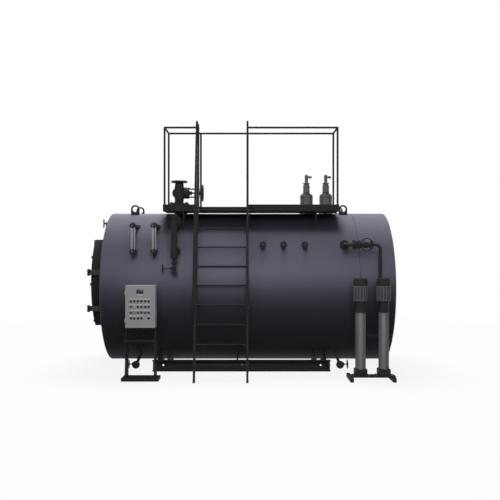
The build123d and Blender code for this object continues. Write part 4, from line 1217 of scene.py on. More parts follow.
@dataclass
class Ladder(Assembly):
    """Feet, rung welds, lug bolts and handrail clamps of the ladder."""

    sides: Pair = (1265, 1936)
    half_width: float = 13.5
    half_depth: float = 31.0
    lean: float = 14.5
    axis_line: float = -1120.7
    rungs: range = range(208, 1945, 248)
    clamp_height: float = 905.0
    lug_height: float = 2189.0
    lug_bolts: Pair = (-716, -756)

    def line(self, height: float) -> float:
        """Middle of a stringer at a height."""
        return (height - AXIS) * math.tan(math.radians(self.lean)) + self.axis_line

    @makes("ladder_feet", FRAME_PAINT)
    def feet(self) -> Piece:
        """Foot plates under the stringers."""
        seats = Way.UP.at(self.sides, self.line(0) + 4, 0)
        return block(seats, (-15, -62, 0), (15, 62, 8), 1.5)

    @makes("ladder_foot_bolts", ZINC)
    def foot_bolts(self) -> Piece:
        """Anchor nuts on the foot plates."""
        return nuts(Way.UP.at(self.sides, (self.line(0) - 46, self.line(0) + 48), 8), 13, 8, 5)

    @makes("rung_weld_beads", FRAME_PAINT)
    def rung_beads(self) -> Piece:
        """Weld beads where the rungs meet the stringers.

        Returns:
            The beads.
        """
        left, right, seats = self.sides[0] + self.half_width, self.sides[1] - self.half_width, []
        for z in self.rungs:
            seats += Way.REAR.at(left, self.line(z), z) + Way.FRONT.at(right, self.line(z), z)
        return lathe(seats, 16, (8.5, 0), (13, 0), (8.5, 4))

    @makes("handrail_clamps", BLACK_PLASTIC)
    def clamps(self) -> Piece:
        """Forked clamps that hold the handrails' lower ends.

        Returns:
            The clamps.
        """
        z = self.clamp_height
        y = self.line(z) - self.half_depth
        parts = [block(Way.NEAR.at(self.sides, y, z), (-24, -30, -10), (24, 40, 12), 5)]
        for x in self.sides:
            parts.append(wire([spot(x, y - 4, z), spot(x, y - 84, z + 25)], 21))
            parts += [
                wire([spot(x + side * 10, y - 8, z + 24), spot(x + side * 21, y - 14, z + 44)], 7)
                for side in SIDES
            ]
        return weld(parts)

    @makes("ladder_lug_bolts", ZINC)
    def lug_nuts(self) -> Piece:
        """Bolts through the lugs at the platform.

        Returns:
            The nuts.
        """
        seats = []
        for x in self.sides:
            seats += Way.FRONT.at(x - 6, self.lug_bolts, self.lug_height)
            seats += Way.REAR.at(x + 6, self.lug_bolts, self.lug_height)
        return nuts(seats, 18, 10, 4)


@dataclass
class SteamValve(Assembly):
    """Studs, nuts, gland, casting line and wheel nut of the steam stop valve."""

    x: float = 938.0
    flange_faces: Pair = (2289, 2337)
    stem: float = 2488.0
    studs: Triple = (119, 8, 22.5)
    bonnet_faces: Pair = (1008, 1076)
    gland_place: float = 1112.0
    rod_ends: Pair = (1076, 1130)
    yoke_end: float = 1234.0
    hub_face: float = 1269.0
    boss: Pair = (910, 74)
    foot: float = 2313.0
    waist: Triple = (151, 14, 72)
    bulge: Pair = (76, 28)

    @makes("steam_flange_nuts", VALVE_PAINT)
    def flange_nuts(self) -> Piece:
        """Stud nuts over and under the lower flange pair.

        Returns:
            The nuts.
        """
        under, over = self.flange_faces
        seats = Way.UP.ring(self.x, 0, over, *self.studs)
        return nuts(seats + Way.DOWN.ring(self.x, 0, under, *self.studs), 30, 17, 6)

    @makes("steam_bonnet_nuts", VALVE_PAINT)
    def bonnet_nuts(self) -> Piece:
        """Nuts round the bonnet joint.

        Returns:
            The nuts.
        """
        inner, outer = self.bonnet_faces
        seats = Way.REAR.ring(outer, 0, self.stem, 70, 8, 22.5)
        return nuts(seats + Way.FRONT.ring(inner, 0, self.stem, 71, 8, 22.5), 19, 13, 6)

    @makes("steam_gland", VALVE_PAINT)
    def gland(self) -> Piece:
        """Gland follower with its two studs, and the bush at the yoke's head.

        Returns:
            The follower, studs and bush.
        """
        x, z = self.gland_place, self.stem
        seats = Way.REAR.at(x, 0, z, 180) + Way.REAR.at(x, 0, z)
        rods = [[spot(end, y, z) for end in self.rod_ends] for y in (-36, 36)]
        ring = (12.8, 0), (32, 0), (32, 8), (22, 12), (12.8, 12)
        bush = (12.8, 0), (25, 0), (25, 5), (19, 5), (19, 5.5), (12.8, 5.5)
        return weld([
            lathe(seats[1:], 32, *ring), block(seats, (20, -9, 0), (42, 9, 9), 2),
            lathe(Way.REAR.at(self.yoke_end, 0, z), 32, *bush), beads(rods, 4.5, False),
        ])

    @makes("steam_casting_line", VALVE_PAINT)
    def casting_line(self) -> Piece:
        """Parting line of the casting down both sides of the belly.

        Returns:
            The line's two sides.
        """
        rises = [26 + 300 * step / 16 for step in range(16)] + [324]
        return beads([
            [spot(self.x, side * self.belly(rise), self.foot + rise) for rise in rises]
            for side in SIDES
        ], 2.2, False)

    def belly(self, rise: float) -> float:
        """Radius of the belly at a rise above the lower face: a waist arc or the bulge.

        Args:
            rise: Height above the lower face.

        Returns:
            The radius there.
        """
        (half, lift, waist), (bulge, shift), off = self.waist, self.bulge, (rise - 175) ** 2
        arc = (half**2 + lift**2) / (2 * lift)
        low = waist - arc + math.sqrt(max(arc**2 - off, 0.0))
        return max(low, math.sqrt(max(bulge**2 - shift**2 - off, 0.0)))

    @makes("steam_body_bosses", VALVE_PAINT)
    def bosses(self) -> Piece:
        """Round bosses on both cheeks of the body.

        Returns:
            The bosses.
        """
        x, y = self.boss
        seats = Way.NEAR.at(x, -y, self.stem) + Way.FAR.at(x, y, self.stem)
        return lathe(seats, 28, (0, 10), (16, 10), (20, 7), (22, 0), (24, -14), (0, -14))

    @makes("steam_wheel_nut", VALVE_PAINT, "steam_wheel")
    def wheel_nut(self) -> Piece:
        """Nut that holds the handwheel on its stem."""
        return nuts(Way.REAR.at(self.hub_face, 0, self.stem), 34, 14)


@dataclass
class SafetyValves(Assembly):
    """Tie rods, nuts, shoulders, flared collars and levers of the safety valves."""

    places: Pair = (2791, 3072)
    foot: float = 2188.0
    ring: float = 2419.0
    shoulder: float = 2447.0
    crown: float = 2597.0
    lever: float = 2719.0
    rod_turns: Row = (53.7, 126.3, 233.7, 306.3)

    def rod_seats(self, height: float, radius: float) -> list[Matrix]:
        """Seats on the axes of the four tie rods of each valve at a height.

        Args:
            height: Height above the floor.
            radius: Distance from the valve's axis.

        Returns:
            One matrix for each rod.
        """
        seats = []
        for turn in map(math.radians, self.rod_turns):
            places = [x + radius * math.cos(turn) for x in self.places]
            seats += Way.UP.at(places, radius * math.sin(turn), height)
        return seats

    @makes("safety_tie_rods", DOOR_PAINT)
    def rods(self) -> Piece:
        """Tie rods down the sides of the bases."""
        seats = self.rod_seats(self.foot, 89.5)
        return lathe(seats, 12, (0, 0), (5, 0), (5, 226), (4, 231), (0, 231))

    @makes("safety_rod_nuts", DOOR_PAINT)
    def rod_nuts(self) -> Piece:
        """Nuts on the tie rods, and the thin joint ring under the shoulder.

        Returns:
            The nuts and rings.
        """
        profile = (90, -2), (93, -1), (93.5, 1), (93, 3), (90, 4)
        ring = lathe(Way.UP.at(self.places, 0, self.ring), 56, *profile)
        return weld([nuts(self.rod_seats(self.ring, 88.5), 17, 12, 4), ring])

    @makes("safety_shoulders", DARK_CASTING)
    def shoulders(self) -> Piece:
        """Rounded shoulders between base and spring housing.

        Returns:
            The shoulders.
        """
        return lathe(
            Way.UP.at(self.places, 0, self.shoulder), 48, (40, -6), (91, -6), (92, -2), (90, 5),
            (84, 13), (74, 21), (62, 28), (54, 33), (50, 39), (49, 48), (40, 48),
        )

    @makes("safety_collars", SAFETY_PAINT)
    def crowns(self) -> Piece:
        """Rounded housing tops, and the sharp lips of the flared collars above them.

        Returns:
            The tops and lips.
        """
        top = (24, 13), (33, 11), (41, 6), (46.5, -1), (48.6, -9), (48.6, -30), (24, -30)
        lip = (25.5, 27), (46, 27), (52.2, 33), (51, 35), (30, 29), (25.5, 29)
        seats = Way.UP.at(self.places, 0, self.crown)
        return weld([lathe(seats, 48, *profile) for profile in (top, lip)])

    @makes("safety_levers", DOOR_PAINT)
    def levers(self) -> Piece:
        """Leaf-shaped lifting levers, widest past their middle and pointed at the tip.

        Returns:
            The levers.
        """
        profile = (0, 0), (9, 2), (13, 14), (18, 28), (12, 44), (4, 56), (0, 58)
        leaf = lathe(HERE, 16, *profile)
        with shaping(leaf):
            bpy.ops.transform.resize(value=(1.0, 0.45, 1.0))
        return stamp(leaf, Way.REAR.at([x + 21 for x in self.places], 0, self.lever, 90))

    @makes("safety_pull_rings", ZINC)
    def rings(self) -> Piece:
        """Pull rings that hang from the tips of the levers.

        Returns:
            The rings.
        """
        return beads([
            [spot(x + 70 + 8 * across, 0, self.lever - 20 + 14 * up) for across, up in circle(20)]
            for x in self.places
        ], 1.4)


@dataclass
class LiftingLugs(Assembly):
    """Weld beads and eye rings of the four lifting lugs."""

    places: Pair = (335, 3292)
    lines: Pair = (-231, 231)
    half_width: float = 60.5
    half_thick: float = 10.0
    eye: float = 2239.0

    @makes("lug_weld_beads", FRAME_PAINT)
    def feet(self) -> Piece:
        """Weld beads round the lugs' feet on the jacket.

        Returns:
            The beads.
        """
        width, thick = self.half_width, self.half_thick
        corners = ((-width, -thick), (width, -thick), (width, thick), (-width, thick))
        return beads([
            [spot(x + along, y + across, AXIS + bow(y + across)) for along, across in corners]
            for x in self.places for y in self.lines
        ], 5)

    @makes("lug_eye_rings", FRAME_PAINT)
    def eye_rings(self) -> Piece:
        """Rounded lips on both faces of each lifting eye.

        Returns:
            The lips.
        """
        seats = Way.NEAR.at(self.places, [y - self.half_thick for y in self.lines], self.eye)
        seats += Way.FAR.at(self.places, [y + self.half_thick for y in self.lines], self.eye)
        return lathe(seats, 40, (38.5, -1), (46, -1), (45, 2.5), (41, 3), (38.5, 1.5))


@dataclass
class LevelGauges(Assembly):
    """Sight slots, bolts, cock caps and levers of the gauges, and the column's fittings."""

    places: Pair = (445, 720)
    heights: Pair = (1641, 1973)
    middle: float = 1807.0
    cock_face: float = -1090.0
    frame_face: float = -1094.0
    slot_places: Pair = (452.5, 727.5)
    nut_places: Pair = (433, 708)
    bolt_heights: range = range(1691, 1924, 58)
    column: Pair = (986, -1123)
    column_ends: Triple = (1551, 2066, 2102)
    branches: tuple[Pair, ...] = ((-948.4, 1635), (-846, 2035))
    unions: Triple = (1530, 1444, 1385)
    foot_flange: float = 1369.0
    wheel_hub: Triple = (828.5, -1123, 1422)

    @makes("gauge_sight_slots", GAUGE_GLASS)
    def slots(self) -> Piece:
        """Dark prismatic glass behind the slot of each frame."""
        seats = Way.NEAR.at(self.slot_places, self.frame_face, self.middle)
        return block(seats, (-5, -140, 0), (5, 140, 3), 0.6)

    @makes("gauge_cover_strips", GAUGE_METAL)
    def covers(self) -> Piece:
        """Raised cover strips on both sides of each slot, rounded at their ends.

        Returns:
            The strips.
        """
        seats = Way.NEAR.at(self.places, self.frame_face, self.middle)
        return weld([
            block(seats, (low, -149, 0), (high, 149, 5), 1.6) for low, high in ((-27, 1), (14, 27))
        ])

    @makes("gauge_cover_bolts", ZINC)
    def cover_bolts(self) -> Piece:
        """Clamp bolts down both sides of the frames.

        Returns:
            The bolts.
        """
        y, seats = self.frame_face + 17, []
        for x in self.places:
            seats += Way.REAR.at(x + 28, y, self.bolt_heights)
            seats += Way.FRONT.at(x - 28, y, self.bolt_heights)
        return nuts(seats, 11, 6, 2)

    @makes("gauge_cock_caps", VALVE_PAINT)
    def cock_caps(self) -> Piece:
        """Domed caps of the cocks, over the ends of the frames."""
        profile = (0, 17), (12, 16), (24, 12.5), (34, 7), (40, 0), (41, -2), (0, -2)
        return lathe(Way.NEAR.at(self.places, self.cock_face, self.heights), 48, *profile)

    @makes("gauge_cock_nuts", ZINC)
    def cock_nuts(self) -> Piece:
        """Bright packing nuts beside the middle of the caps."""
        seats = Way.NEAR.at(self.nut_places, self.cock_face, self.heights)
        return lathe(seats, 6, (0, 20), (8, 20), (10, 18), (10, 8), (0, 8))

    @makes("gauge_cock_rims", VALVE_PAINT)
    def cock_rims(self) -> Piece:
        """Stepped rims and backing nuts of the cocks.

        Returns:
            The rims.
        """
        return lathe(
            Way.NEAR.at(self.places, self.cock_face, self.heights), 48, (24, -1), (30, 1),
            (33, 4), (41, 4), (43.5, 2), (44.4, -3), (44.4, -54), (42, -58), (24, -58),
        )

    @makes("gauge_cock_levers", VALVE_PAINT)
    def levers(self) -> Piece:
        """Short levers on the right of the upper cocks.

        Returns:
            The levers.
        """
        lever = block(HERE, (36, -7, -16), (74, 7, -8), 2.5)
        with shaping(lever, 0):
            bpy.ops.transform.resize(value=(1.0, 1.6, 1.0))
            bpy.ops.transform.translate(value=(0.0, -14 * MM, 0.0))
        return stamp(lever, Way.NEAR.at(self.places, self.cock_face, self.heights[1]))

    @makes("column_branch_nuts", VALVE_PAINT)
    def branch_nuts(self) -> Piece:
        """Nuts of the column's branch flanges.

        Returns:
            The nuts.
        """
        x, seats = self.column[0], []
        for y, z in self.branches:
            seats += Way.NEAR.ring(x, y, z, 46, 4, 45) + Way.FAR.ring(x, y + 22, z, 46, 4, 45)
        return nuts(seats, 19, 12, 5)

    @makes("column_caps", VALVE_PAINT)
    def column_caps(self) -> Piece:
        """Foot ring, ring flange and bolted cap of the column.

        Returns:
            The rings, the cap and their nuts.
        """
        foot, ring, cap = self.column_ends
        parts = [lathe(Way.UP.at(*self.column, z), 40, *profile) for z, profile in (
            (foot, ((13, -6), (34, -6), (41.5, 3), (42.5, 22), (40.5, 24), (13, 24))),
            (ring, ((40.5, 0), (56, 0), (57, 2), (57, 14), (56, 16), (40.5, 16))),
            (cap, ((0, 8), (20, 8), (26, 3), (58, 3), (58, 0), (0, 0))),
        )]
        seats = Way.UP.ring(*self.column, cap + 3, 46, 6, 30)
        seats += Way.DOWN.ring(*self.column, ring, 49, 6, 30)
        return weld([*parts, nuts(seats, 15, 10, 4)])

    @makes("column_drain_fittings", VALVE_PAINT)
    def drain_fittings(self) -> Piece:
        """Hexagon unions of the drain line and nuts of its flange.

        Returns:
            The unions and nuts.
        """
        union = (12, 0), (20, 0), (22, 3), (22, 13), (20, 16), (12, 16)
        return weld([
            lathe(Way.UP.at(*self.column, self.unions), 6, *union),
            nuts(Way.UP.ring(*self.column, self.foot_flange, 33, 4, 45), 11, 8, 2),
        ])

    @makes("column_wheel_nut", ZINC, "column_wheel")
    def wheel_nut(self) -> Piece:
        """Nut on the stem of the column's drain valve."""
        return nuts(Way.FRONT.at(*self.wheel_hub), 14, 6)


@dataclass
class SideStubs(Assembly):
    """Plugs of the three instrument stubs."""

    stubs: tuple[Triple, float, float] = ((2138, 2413, 2694), -965.6, 1727)

    @makes("stub_plugs", VALVE_PAINT)
    def plugs(self) -> Piece:
        """Turned caps with a raised rim.

        Returns:
            The caps.
        """
        return lathe(
            Way.NEAR.at(*self.stubs), 48, (0, 3), (26, 3), (30, 1), (34, 1), (37, 6), (43, 6),
            (44.5, 3), (44.5, -20), (43, -22), (0, -22),
        )

    @makes("stub_plug_ribs", HINGE_PAINT)
    def crosses(self) -> Piece:
        """Cross ribs with a square for the key.

        Returns:
            The ribs and squares.
        """
        return weld([
            block(Way.NEAR.at(*self.stubs), (-x, -y, 2), (x, y, top), 2)
            for x, y, top in ((28, 5, 9), (5, 28, 9), (9, 9, 17))
        ])


@dataclass
class FeedLine(Assembly):
    """Flange nuts, caps, unions, wheel nut and bent pipe of the feed line."""

    line: float = -1088.0
    height: float = 1727.0
    nozzle: Pair = (3222, -907.6)
    bolts: Triple = (51, 4, 45)
    front_faces: Row = (3307, 3343, 3380, 3540)
    rear_faces: Row = (3323, 3359, 3396, 3556)
    check: float = 3333.0
    wheel: Pair = (3468, -1217)
    pipe_ends: Pair = (3556, 3664)
    pipe_radius: float = 22.0
    port: Pair = (-1226, 116)
    bend: float = 60.0
    bead_heights: Pair = (1663, 180)
    union: float = 560.0

    def build(self) -> None:
        """Make the pieces, and let the bent pipe stand for the plain one."""
        super().build()
        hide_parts("feed_pipe")

    @makes("feed_flange_nuts", VALVE_PAINT)
    def flange_nuts(self) -> Piece:
        """Nuts of all flanges on the line.

        Returns:
            The nuts.
        """
        x, y = self.nozzle
        seats = Way.NEAR.ring(x, y, self.height, *self.bolts)
        seats += Way.FAR.ring(x, y + 16, self.height, *self.bolts)
        seats += Way.FRONT.ring(self.front_faces, self.line, self.height, *self.bolts)
        seats += Way.REAR.ring(self.rear_faces, self.line, self.height, *self.bolts)
        return nuts(seats, 17, 9, 3)

    @makes("feed_valve_caps", VALVE_PAINT)
    def caps(self) -> Piece:
        """Check valve cap, stop valve bonnet nut and gland nut.

        Returns:
            The caps and nuts.
        """
        cap = (0, 17), (15, 17), (18, 14), (18, 6), (26, 4), (26, -8), (0, -8)
        bonnet = (29, 0), (36, 0), (39, 3), (39, 15), (36, 18), (29, 18)
        gland = (9.6, 0), (19, 0), (19, 7), (16, 10), (9.6, 10)
        stem, y, z = self.wheel[0], self.line, self.height
        return weld([
            lathe(Way.UP.at(self.check, y, z + 40), 24, *cap),
            lathe(Way.NEAR.at(stem, y - 42, z), 6, *bonnet),
            lathe(Way.NEAR.at(stem, y - 78, z), 24, *gland),
        ])

    @makes("feed_wheel_nut", VALVE_PAINT, "feed_wheel")
    def wheel_nut(self) -> Piece:
        """Nut that holds the handwheel on its stem."""
        return nuts(Way.NEAR.at(*self.wheel, self.height), 20, 8)

    @makes("bent_feed_pipe", VALVE_PAINT)
    def bent_pipe(self) -> Piece:
        """Pipe from the stop valve down to the pump, with long-radius elbows.

        Returns:
            The pipe.
        """
        (start, end), (port, low) = self.pipe_ends, self.port
        corners = [
            spot(start, self.line, self.height), spot(end, self.line, self.height),
            spot(end, self.line, low), spot(end, port, low),
        ]
        points = [corners[0]]
        for before, corner, after in zip(corners, corners[1:], corners[2:]):
            near = (before - corner).normalized() * self.bend * MM
            far = (after - corner).normalized() * self.bend * MM
            for step in range(9):
                turn = math.pi / 2 * step / 8
                points.append(corner + near * (1 - math.sin(turn)) + far * (1 - math.cos(turn)))
        return wire([*points, corners[-1]], self.pipe_radius)

    @makes("feed_pipe_beads", VALVE_PAINT)
    def elbow_beads(self) -> Piece:
        """Butt-weld beads and one union on the pipe down to the pump.

        Returns:
            The beads and the union.
        """
        x, y = self.pipe_ends[1], self.line
        seats = Way.REAR.at(x - 64, y, self.height) + Way.UP.at(x, y, self.bead_heights)
        bead = (21, -3), (23.4, -1.5), (23.4, 1.5), (21, 3)
        union = (21, 0), (27, 0), (27, 14), (34, 16), (34, 34), (27, 36), (27, 52), (21, 52)
        return weld([lathe(seats, 28, *bead), lathe(Way.UP.at(x, y, self.union), 8, *union)])


@dataclass
class FeedPumps(Assembly):
    """Feet, bands, rods, couplings, ribbed motors, caps and boxes of the feed pumps."""

    places: Pair = (3370, 3664)
    line: float = -1310.0
    plate: float = 72.0
    foot_places: Row = (3275, 3465, 3569, 3759)
    foot_lines: Pair = (-1360, -1260)
    sleeve: Pair = (152, 866)
    motor: Pair = (1015, 1205)
    cowl_rise: float = 96.0
    rod_turns: Row = (32, 148, 212, 328)
    screw_places: Row = (3340, 3400, 3634, 3694)
    screw_heights: Pair = (900, 985)
    fins: int = 14
    box: Pair = (-1223, 1110)
    port: Pair = (-1226, 116)

    @makes("pump_feet", DARK_CASTING)
    def feet(self) -> Piece:
        """Cast feet that flare from the sleeve to the plate.

        Returns:
            The feet.
        """
        foot = block(HERE, (-77, -71, 0), (77, 71, 81))
        with shaping(foot, 2):
            bpy.ops.mesh.inset(thickness=7 * MM, depth=0)
            move_on(0, 0, 5)
        flange = block(HERE, (-78, -74, 0), (78, 74, 14), 4)
        seats = Way.UP.at(self.places, self.line, self.plate)
        return stamp(weld([soften(foot, 5, 3), flange]), seats)

    @makes("pump_foot_nuts", ZINC)
    def foot_nuts(self) -> Piece:
        """Hold-down nuts of the feet and of the base plate."""
        return nuts(Way.UP.at(self.foot_places, self.foot_lines, self.plate), 17, 10, 5)

    @makes("sleeve_bands", SLEEVE_STEEL)
    def bands(self) -> Piece:
        """Rolled bands at both ends of the sleeves.

        Returns:
            The bands.
        """
        foot, top = self.sleeve
        seats = Way.UP.at(self.places, self.line, (foot + 6, top - 14))
        return lathe(seats, 56, (64, 0), (67.2, 0), (68.2, 2), (68.2, 10), (67.2, 12), (64, 12))

    @makes("sleeve_tie_rods", SLEEVE_STEEL)
    def rods(self) -> Piece:
        """Staybolts along the sleeves.

        Returns:
            The rods.
        """
        (foot, top), seats = self.sleeve, []
        for turn in self.rod_turns:
            seats += Way.UP.ring(self.places, self.line, foot, 65.5, 1, turn)
        return lathe(seats, 12, (0, 0), (4.5, 0), (4.5, top - foot), (0, top - foot))

    @makes("pump_couplings", DARK_CASTING)
    def couplings(self) -> Piece:
        """Coupling housings, a little wider towards the motor.

        Returns:
            The housings.
        """
        foot, top = self.sleeve[1], self.motor[0] - self.sleeve[1]
        return lathe(
            Way.UP.at(self.places, self.line, foot), 56, (55, 0), (66.5, 0), (67.5, 3),
            (67.5, 12), (62.5, 16), (64, 110), (69, top - 16), (74, top - 12), (74, top - 1),
            (55, top - 1),
        )

    @makes("coupling_screws", DARK_CASTING)
    def coupling_screws(self) -> Piece:
        """Screws of the coupling guards."""
        depth = math.sqrt(63.5**2 - 30**2)
        return nuts(Way.NEAR.at(self.screw_places, self.line - depth, self.screw_heights), 9, 5)

    @makes("motor_fins", MOTOR_PAINT)
    def motor_fins(self) -> Piece:
        """Cooling fins round the motors."""
        seats = Way.UP.ring(self.places, self.line, self.motor[0], 87, self.fins)
        return block(seats, (-6, -8, 12), (4.2, 8, 178), 1.6)

    @makes("motor_end_rings", MOTOR_PAINT)
    def motor_rings(self) -> Piece:
        """End shields of the motors."""
        seats = Way.UP.at(self.places, self.line, (self.motor[0], self.motor[1] - 12))
        return lathe(seats, 56, (80, 0), (88, 0), (91, 2), (91, 9), (88, 12), (80, 12))

    @makes("motor_cowls", DARK_CASTING)
    def cowls(self) -> Piece:
        """Fan cowls over the motors, with a slotted top.

        Returns:
            The cowls.
        """
        top, slot = self.cowl_rise + 1, self.cowl_rise - 4
        return lathe(
            Way.UP.at(self.places, self.line, self.motor[1]), 56, (80, 0), (88.5, 0),
            (88.5, top - 9), (85, top - 3), (78, top), (70, top), (68, slot), (62, slot),
            (60, top), (50, top), (48, slot), (42, slot), (40, top), (30, top), (28, slot),
            (0, slot), (0, 4), (80, 4),
        )

    @makes("motor_terminal_boxes", MOTOR_PAINT)
    def terminal_boxes(self) -> Piece:
        """Terminal boxes on the far side of the motors.

        Returns:
            The boxes with their screws.
        """
        box = block(HERE, (-42, -48, -14), (42, 48, 40), 5)
        with shaping(box, 2, 0.99):
            bpy.ops.mesh.inset(thickness=5 * MM, depth=2 * MM)
        places = product((-32 * MM, 32 * MM), (-38 * MM, 38 * MM), (41 * MM,))
        screws = nuts([Matrix.Translation(place) for place in places], 8, 4)
        return stamp(weld([box, screws]), Way.FAR.at(self.places, *self.box))

    @makes("pump_port_nuts", ZINC)
    def port_nuts(self) -> Piece:
        """Nuts of the port flanges behind the feet."""
        return nuts(Way.FAR.ring(self.places, *self.port, 29.5, 4, 45), 9, 6, 2)


@dataclass
class Blowdown(Assembly):
    """Blank covers, unions and wheel nuts of the two blowdown valves."""

    places: Pair = (435, 3180)
    face: float = -791.0
    line: float = -735.0
    height: float = 117.0

    def stems(self, out: float) -> list[Matrix]:
        """Seats on both stems, a distance out from the valves' middles."""
        (front, rear), place = self.places, (self.line, self.height)
        return Way.FRONT.at(front - out, *place) + Way.REAR.at(rear + out, *place)

    @makes("blowdown_blanks", VALVE_PAINT)
    def blanks(self) -> Piece:
        """Blank covers with a dished middle."""
        profile = (0, 5), (18, 5), (22, 8), (50, 8), (52, 6), (52, -16), (50, -17), (0, -17)
        return lathe(Way.NEAR.at(self.places, self.face, self.height), 44, *profile)

    @makes("blowdown_blank_nuts", VALVE_PAINT)
    def blank_nuts(self) -> Piece:
        """Four nuts on each blank and behind each flange.

        Returns:
            The nuts.
        """
        seats = Way.NEAR.ring(self.places, self.face - 8, self.height, 38, 4, 45)
        seats += Way.FAR.ring(self.places, self.face + 17, self.height, 40, 4, 45)
        return nuts(seats, 14, 9, 4)

    @makes("blowdown_bonnet_rings", VALVE_PAINT)
    def bonnet_rings(self) -> Piece:
        """Hexagon rings round the bonnets."""
        profile = (19, 0), (26, 0), (28, 2), (28, 11), (26, 13), (19, 13)
        return lathe(self.stems(42), 6, *profile)

    @makes("blowdown_front_wheel_nut", ZINC, "blowdown_front", 0)
    @makes("blowdown_rear_wheel_nut", ZINC, "blowdown_rear", 1)
    def wheel_nut(self, number: int) -> Piece:
        """Nut on one valve's stem."""
        return nuts([self.stems(111.5)[number]], 16, 6)


@dataclass
class SkidFittings(Assembly):
    """Saddle welds, hole rings, end ribs and hold-down nuts of the skid."""

    saddles: Triple = (776, 1858, 2940)
    plate_faces: Row = (-72.5, -60.5, 60.5, 72.5)
    half_top: float = 620.0
    half_foot: float = 565.0
    web: float = 571.0
    rib_places: Pair = (668, 3036)
    rib_line: float = 574.0
    nut_places: Row = (700, 1317, 2399, 3010)
    nut_lines: Pair = (-612, 612)
    beam_height: float = 150.0
    flange: float = 12.0
    hole_height: float = 75.0

    @makes("skid_hole_rings", FRAME_PAINT)
    def hole_rings(self) -> Piece:
        """Rings round the lashing holes in the webs.

        Returns:
            The rings.
        """
        seats = Way.NEAR.at(self.saddles, -self.web, self.hole_height)
        seats += Way.FAR.at(self.saddles, self.web, self.hole_height)
        return lathe(seats, 32, (13.2, -1), (20, -1), (20, 3), (14.5, 4))

    @makes("saddle_weld_beads", FRAME_PAINT)
    def saddle_beads(self) -> Piece:
        """Weld beads of the saddle plates on the beams and on the shell.

        Returns:
            The beads.
        """
        places = [self.half_top * (step / 12 - 1) for step in range(25)]
        traces = []
        for x in (saddle + face for saddle in self.saddles for face in self.plate_faces):
            traces.append([spot(x, y, AXIS - bow(y)) for y in places])
            for side in SIDES:
                foot = (side * self.half_top, side * self.half_foot)
                traces.append([spot(x, y, self.beam_height) for y in foot])
        return beads(traces, 4, False)

    @makes("skid_floor_nuts", FRAME_PAINT)
    def floor_nuts(self) -> Piece:
        """Hold-down nuts on the lower flanges."""
        return nuts(Way.UP.at(self.nut_places, self.nut_lines, self.flange), 24, 15, 12)

    @makes("skid_end_ribs", FRAME_PAINT)
    def end_ribs(self) -> Piece:
        """Stiffening ribs inside the channels near their ends.

        Returns:
            The ribs.
        """
        seats = Way.UP.at(self.rib_places, self.rib_line, self.flange)
        seats += Way.UP.at(self.rib_places, -self.rib_line, self.flange, 180)
        return block(seats, (-5, 0, 0), (5, 66, 126), 1)


@dataclass(frozen=True)
class Softbox:
    """A square softbox with its place and side in metres and its power in watts."""

    name: str
    place: Triple
    size: float
    power: float
    target: Triple = (0.0, 0.2498, 1.137)

    def hang(self) -> Piece:
        """Hang the softbox so that it faces the boiler, and return its object.

        Returns:
            The softbox.
        """
        lamp = bpy.data.lights.new(self.name, "AREA")
        lamp.shape = "SQUARE"
        lamp.size = self.size
        lamp.energy = self.power
        holder = bpy.data.objects.new(self.name, lamp)
        holder.location = self.place
        aim = Vector(self.target) - Vector(self.place)
        holder.rotation_euler = aim.to_track_quat("-Z", "Y").to_euler()
        holder.visible_camera = False
        bpy.context.collection.objects.link(holder)
        return holder


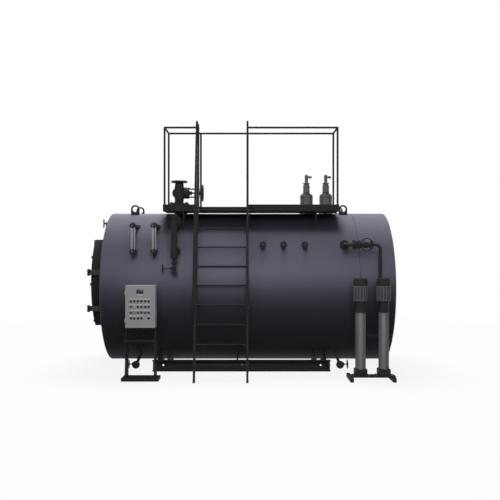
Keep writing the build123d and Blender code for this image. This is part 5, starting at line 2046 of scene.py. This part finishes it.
@dataclass
class Studio:
    """Camera at the photograph's place, soft overhead light and a pale floor."""

    eye: Triple = (0.0606, -9.8072, 1.6587)
    lens: float = 49.66
    key: Softbox = Softbox("overhead softbox", (0.0, 1.8, 9.6), 4.0, 930.0)
    fill: Softbox = Softbox("rear softbox", (-1.5, 9.5, 4.5), 7.0, 200.0)
    front: Softbox = Softbox("front softbox", (0.0, -9.5, 5.2), 5.5, 330.0)
    sheen: Softbox = Softbox("sheen softbox", (0.0, -9.4, 5.5), 6.4, 14900.0)
    sheen_tint: Triple = (0.86, 0.84, 1.1)
    jackets: tuple[str, ...] = ("main_jacket", "rear_jacket")
    room_low: str = "#2A2B22"
    room_high: str = "#403F4A"
    floor_bounce: str = "#2C2C22"
    floor_cover: Colour = (0.9, 0.9, 0.9, 1.0)
    floor_size: float = 70.0
    shadow_span: Pair = (3.0, 9.0)
    shadow_white: float = 0.88

    def build(self) -> None:
        """Set the camera, the lamps, the world and the floor."""
        self.set_camera()
        self.key.hang()
        self.fill.hang()
        self.light_front()
        self.set_world()
        self.lay_floor()
        bpy.context.scene.view_settings.view_transform = "Standard"

    def set_camera(self) -> None:
        """Place the camera level, where the photograph was taken."""
        camera = bpy.data.cameras.new("camera")
        camera.lens = self.lens
        camera.sensor_width = 36.0
        camera.clip_end = 200.0
        holder = bpy.data.objects.new("camera", camera)
        holder.location = self.eye
        holder.rotation_euler = (math.pi / 2, 0.0, 0.0)
        bpy.context.collection.objects.link(holder)
        bpy.context.scene.camera = holder

    def light_front(self) -> None:
        """Light the front softly, and give jacket and sleeves their own broad sheen."""
        front, sheen = self.front.hang(), self.sheen.hang()
        sheen.visible_diffuse = False
        sheen.data.color = self.sheen_tint
        for lamp, link, names in (
            (front, "EXCLUDE", self.jackets), (sheen, "INCLUDE", (*self.jackets, "pump_stages")),
        ):
            coated = bpy.data.collections.new(f"{lamp.name} and jacket")
            for name in names:
                coated.objects.link(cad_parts[name])
            for entry in coated.collection_objects:
                entry.light_linking.link_state = link
            lamp.light_linking.receiver_collection = coated

    def set_world(self) -> None:
        """Dim cool surroundings for the light, white where the camera looks."""
        world = bpy.data.worlds.new("studio")
        world.use_nodes = True
        tree = world.node_tree
        direction = add_node(tree, "TexCoord").outputs["Generated"]
        rise = add_node(tree, "SeparateXYZ", {0: direction}).outputs["Z"]
        height = add_node(tree, "MapRange", {"Value": rise, "From Min": -1.0, "From Max": 1.0})
        room = add_node(tree, "Mix", {
            0: height.outputs[0], 6: linear(self.room_low), 7: linear(self.room_high),
        }, data_type="RGBA")
        shown = add_node(
            tree, "Mix", {0: self.seen(tree), 6: room.outputs[2], 7: WHITE}, data_type="RGBA"
        )
        wire_up(tree, tree.nodes["Background"], {"Color": shown.outputs[2]})
        bpy.context.scene.world = world

    def seen(self, tree: Tree) -> Socket:
        """Return 1 for what the camera sees, directly or in metal and glass.

        Args:
            tree: The material's node tree.

        Returns:
            Socket with 1 for seen rays and 0 for the rest.
        """
        path = add_node(tree, "LightPath").outputs
        seen = path["Is Camera Ray"]
        for other in ("Is Glossy Ray", "Is Transmission Ray"):
            seen = add_node(tree, "Math", {0: seen, 1: path[other]}, operation="MAXIMUM").outputs[0]
        return seen

    def lay_floor(self) -> None:
        """Lay a pale floor that keeps the boiler's shadow."""
        clear()
        bpy.ops.mesh.primitive_plane_add(size=self.floor_size)
        floor = bpy.context.object
        floor.name = "studio_floor"
        pale = bpy.data.materials.new("pale studio floor")
        pale.use_nodes = True
        tree = pale.node_tree
        bounce = add_node(tree, "BsdfDiffuse", {"Color": linear(self.floor_bounce)})
        cover = add_node(tree, "BsdfDiffuse", {"Color": self.floor_cover})
        white = add_node(tree, "Emission", {"Color": WHITE})
        place = add_node(tree, "TexCoord").outputs["Object"]
        away = add_node(tree, "VectorMath", {0: place}, operation="LENGTH").outputs["Value"]
        near, far = self.shadow_span
        share = add_node(tree, "MapRange", {
            "Value": away, "From Min": near, "From Max": far, "To Min": self.shadow_white,
        })
        bright = add_node(
            tree, "MixShader", {0: share.outputs[0], 1: cover.outputs[0], 2: white.outputs[0]}
        )
        shown = add_node(
            tree, "MixShader", {0: self.seen(tree), 1: bounce.outputs[0], 2: bright.outputs[0]}
        )
        wire_up(tree, tree.nodes["Material Output"], {"Surface": shown.outputs[0]})
        floor.data.materials.append(pale)


def dress_nodes() -> None:
    """Give every carried-over node its finish."""
    for finish, names in NODE_FINISHES.items():
        for name in names.split():
            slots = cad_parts[name].data.materials
            slots.clear()
            slots.append(finish.material())
            log.info("%s: %s", name, finish.name)


def main() -> None:
    """Build the looks in order and report each piece."""
    logging.basicConfig(level=logging.INFO, format="%(message)s")
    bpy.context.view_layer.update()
    Studio().build()
    dress_nodes()
    for assembly in (
        JacketTrim(), EndPlates(), SmokeDoor(), ControlCabinet(), Platform(), Ladder(),
        SteamValve(), SafetyValves(), LiftingLugs(), LevelGauges(), SideStubs(), FeedLine(),
        FeedPumps(), Blowdown(), SkidFittings(),
    ):
        log.info("== %s", type(assembly).__name__)
        assembly.build()


if __name__ == "__main__":
    main()
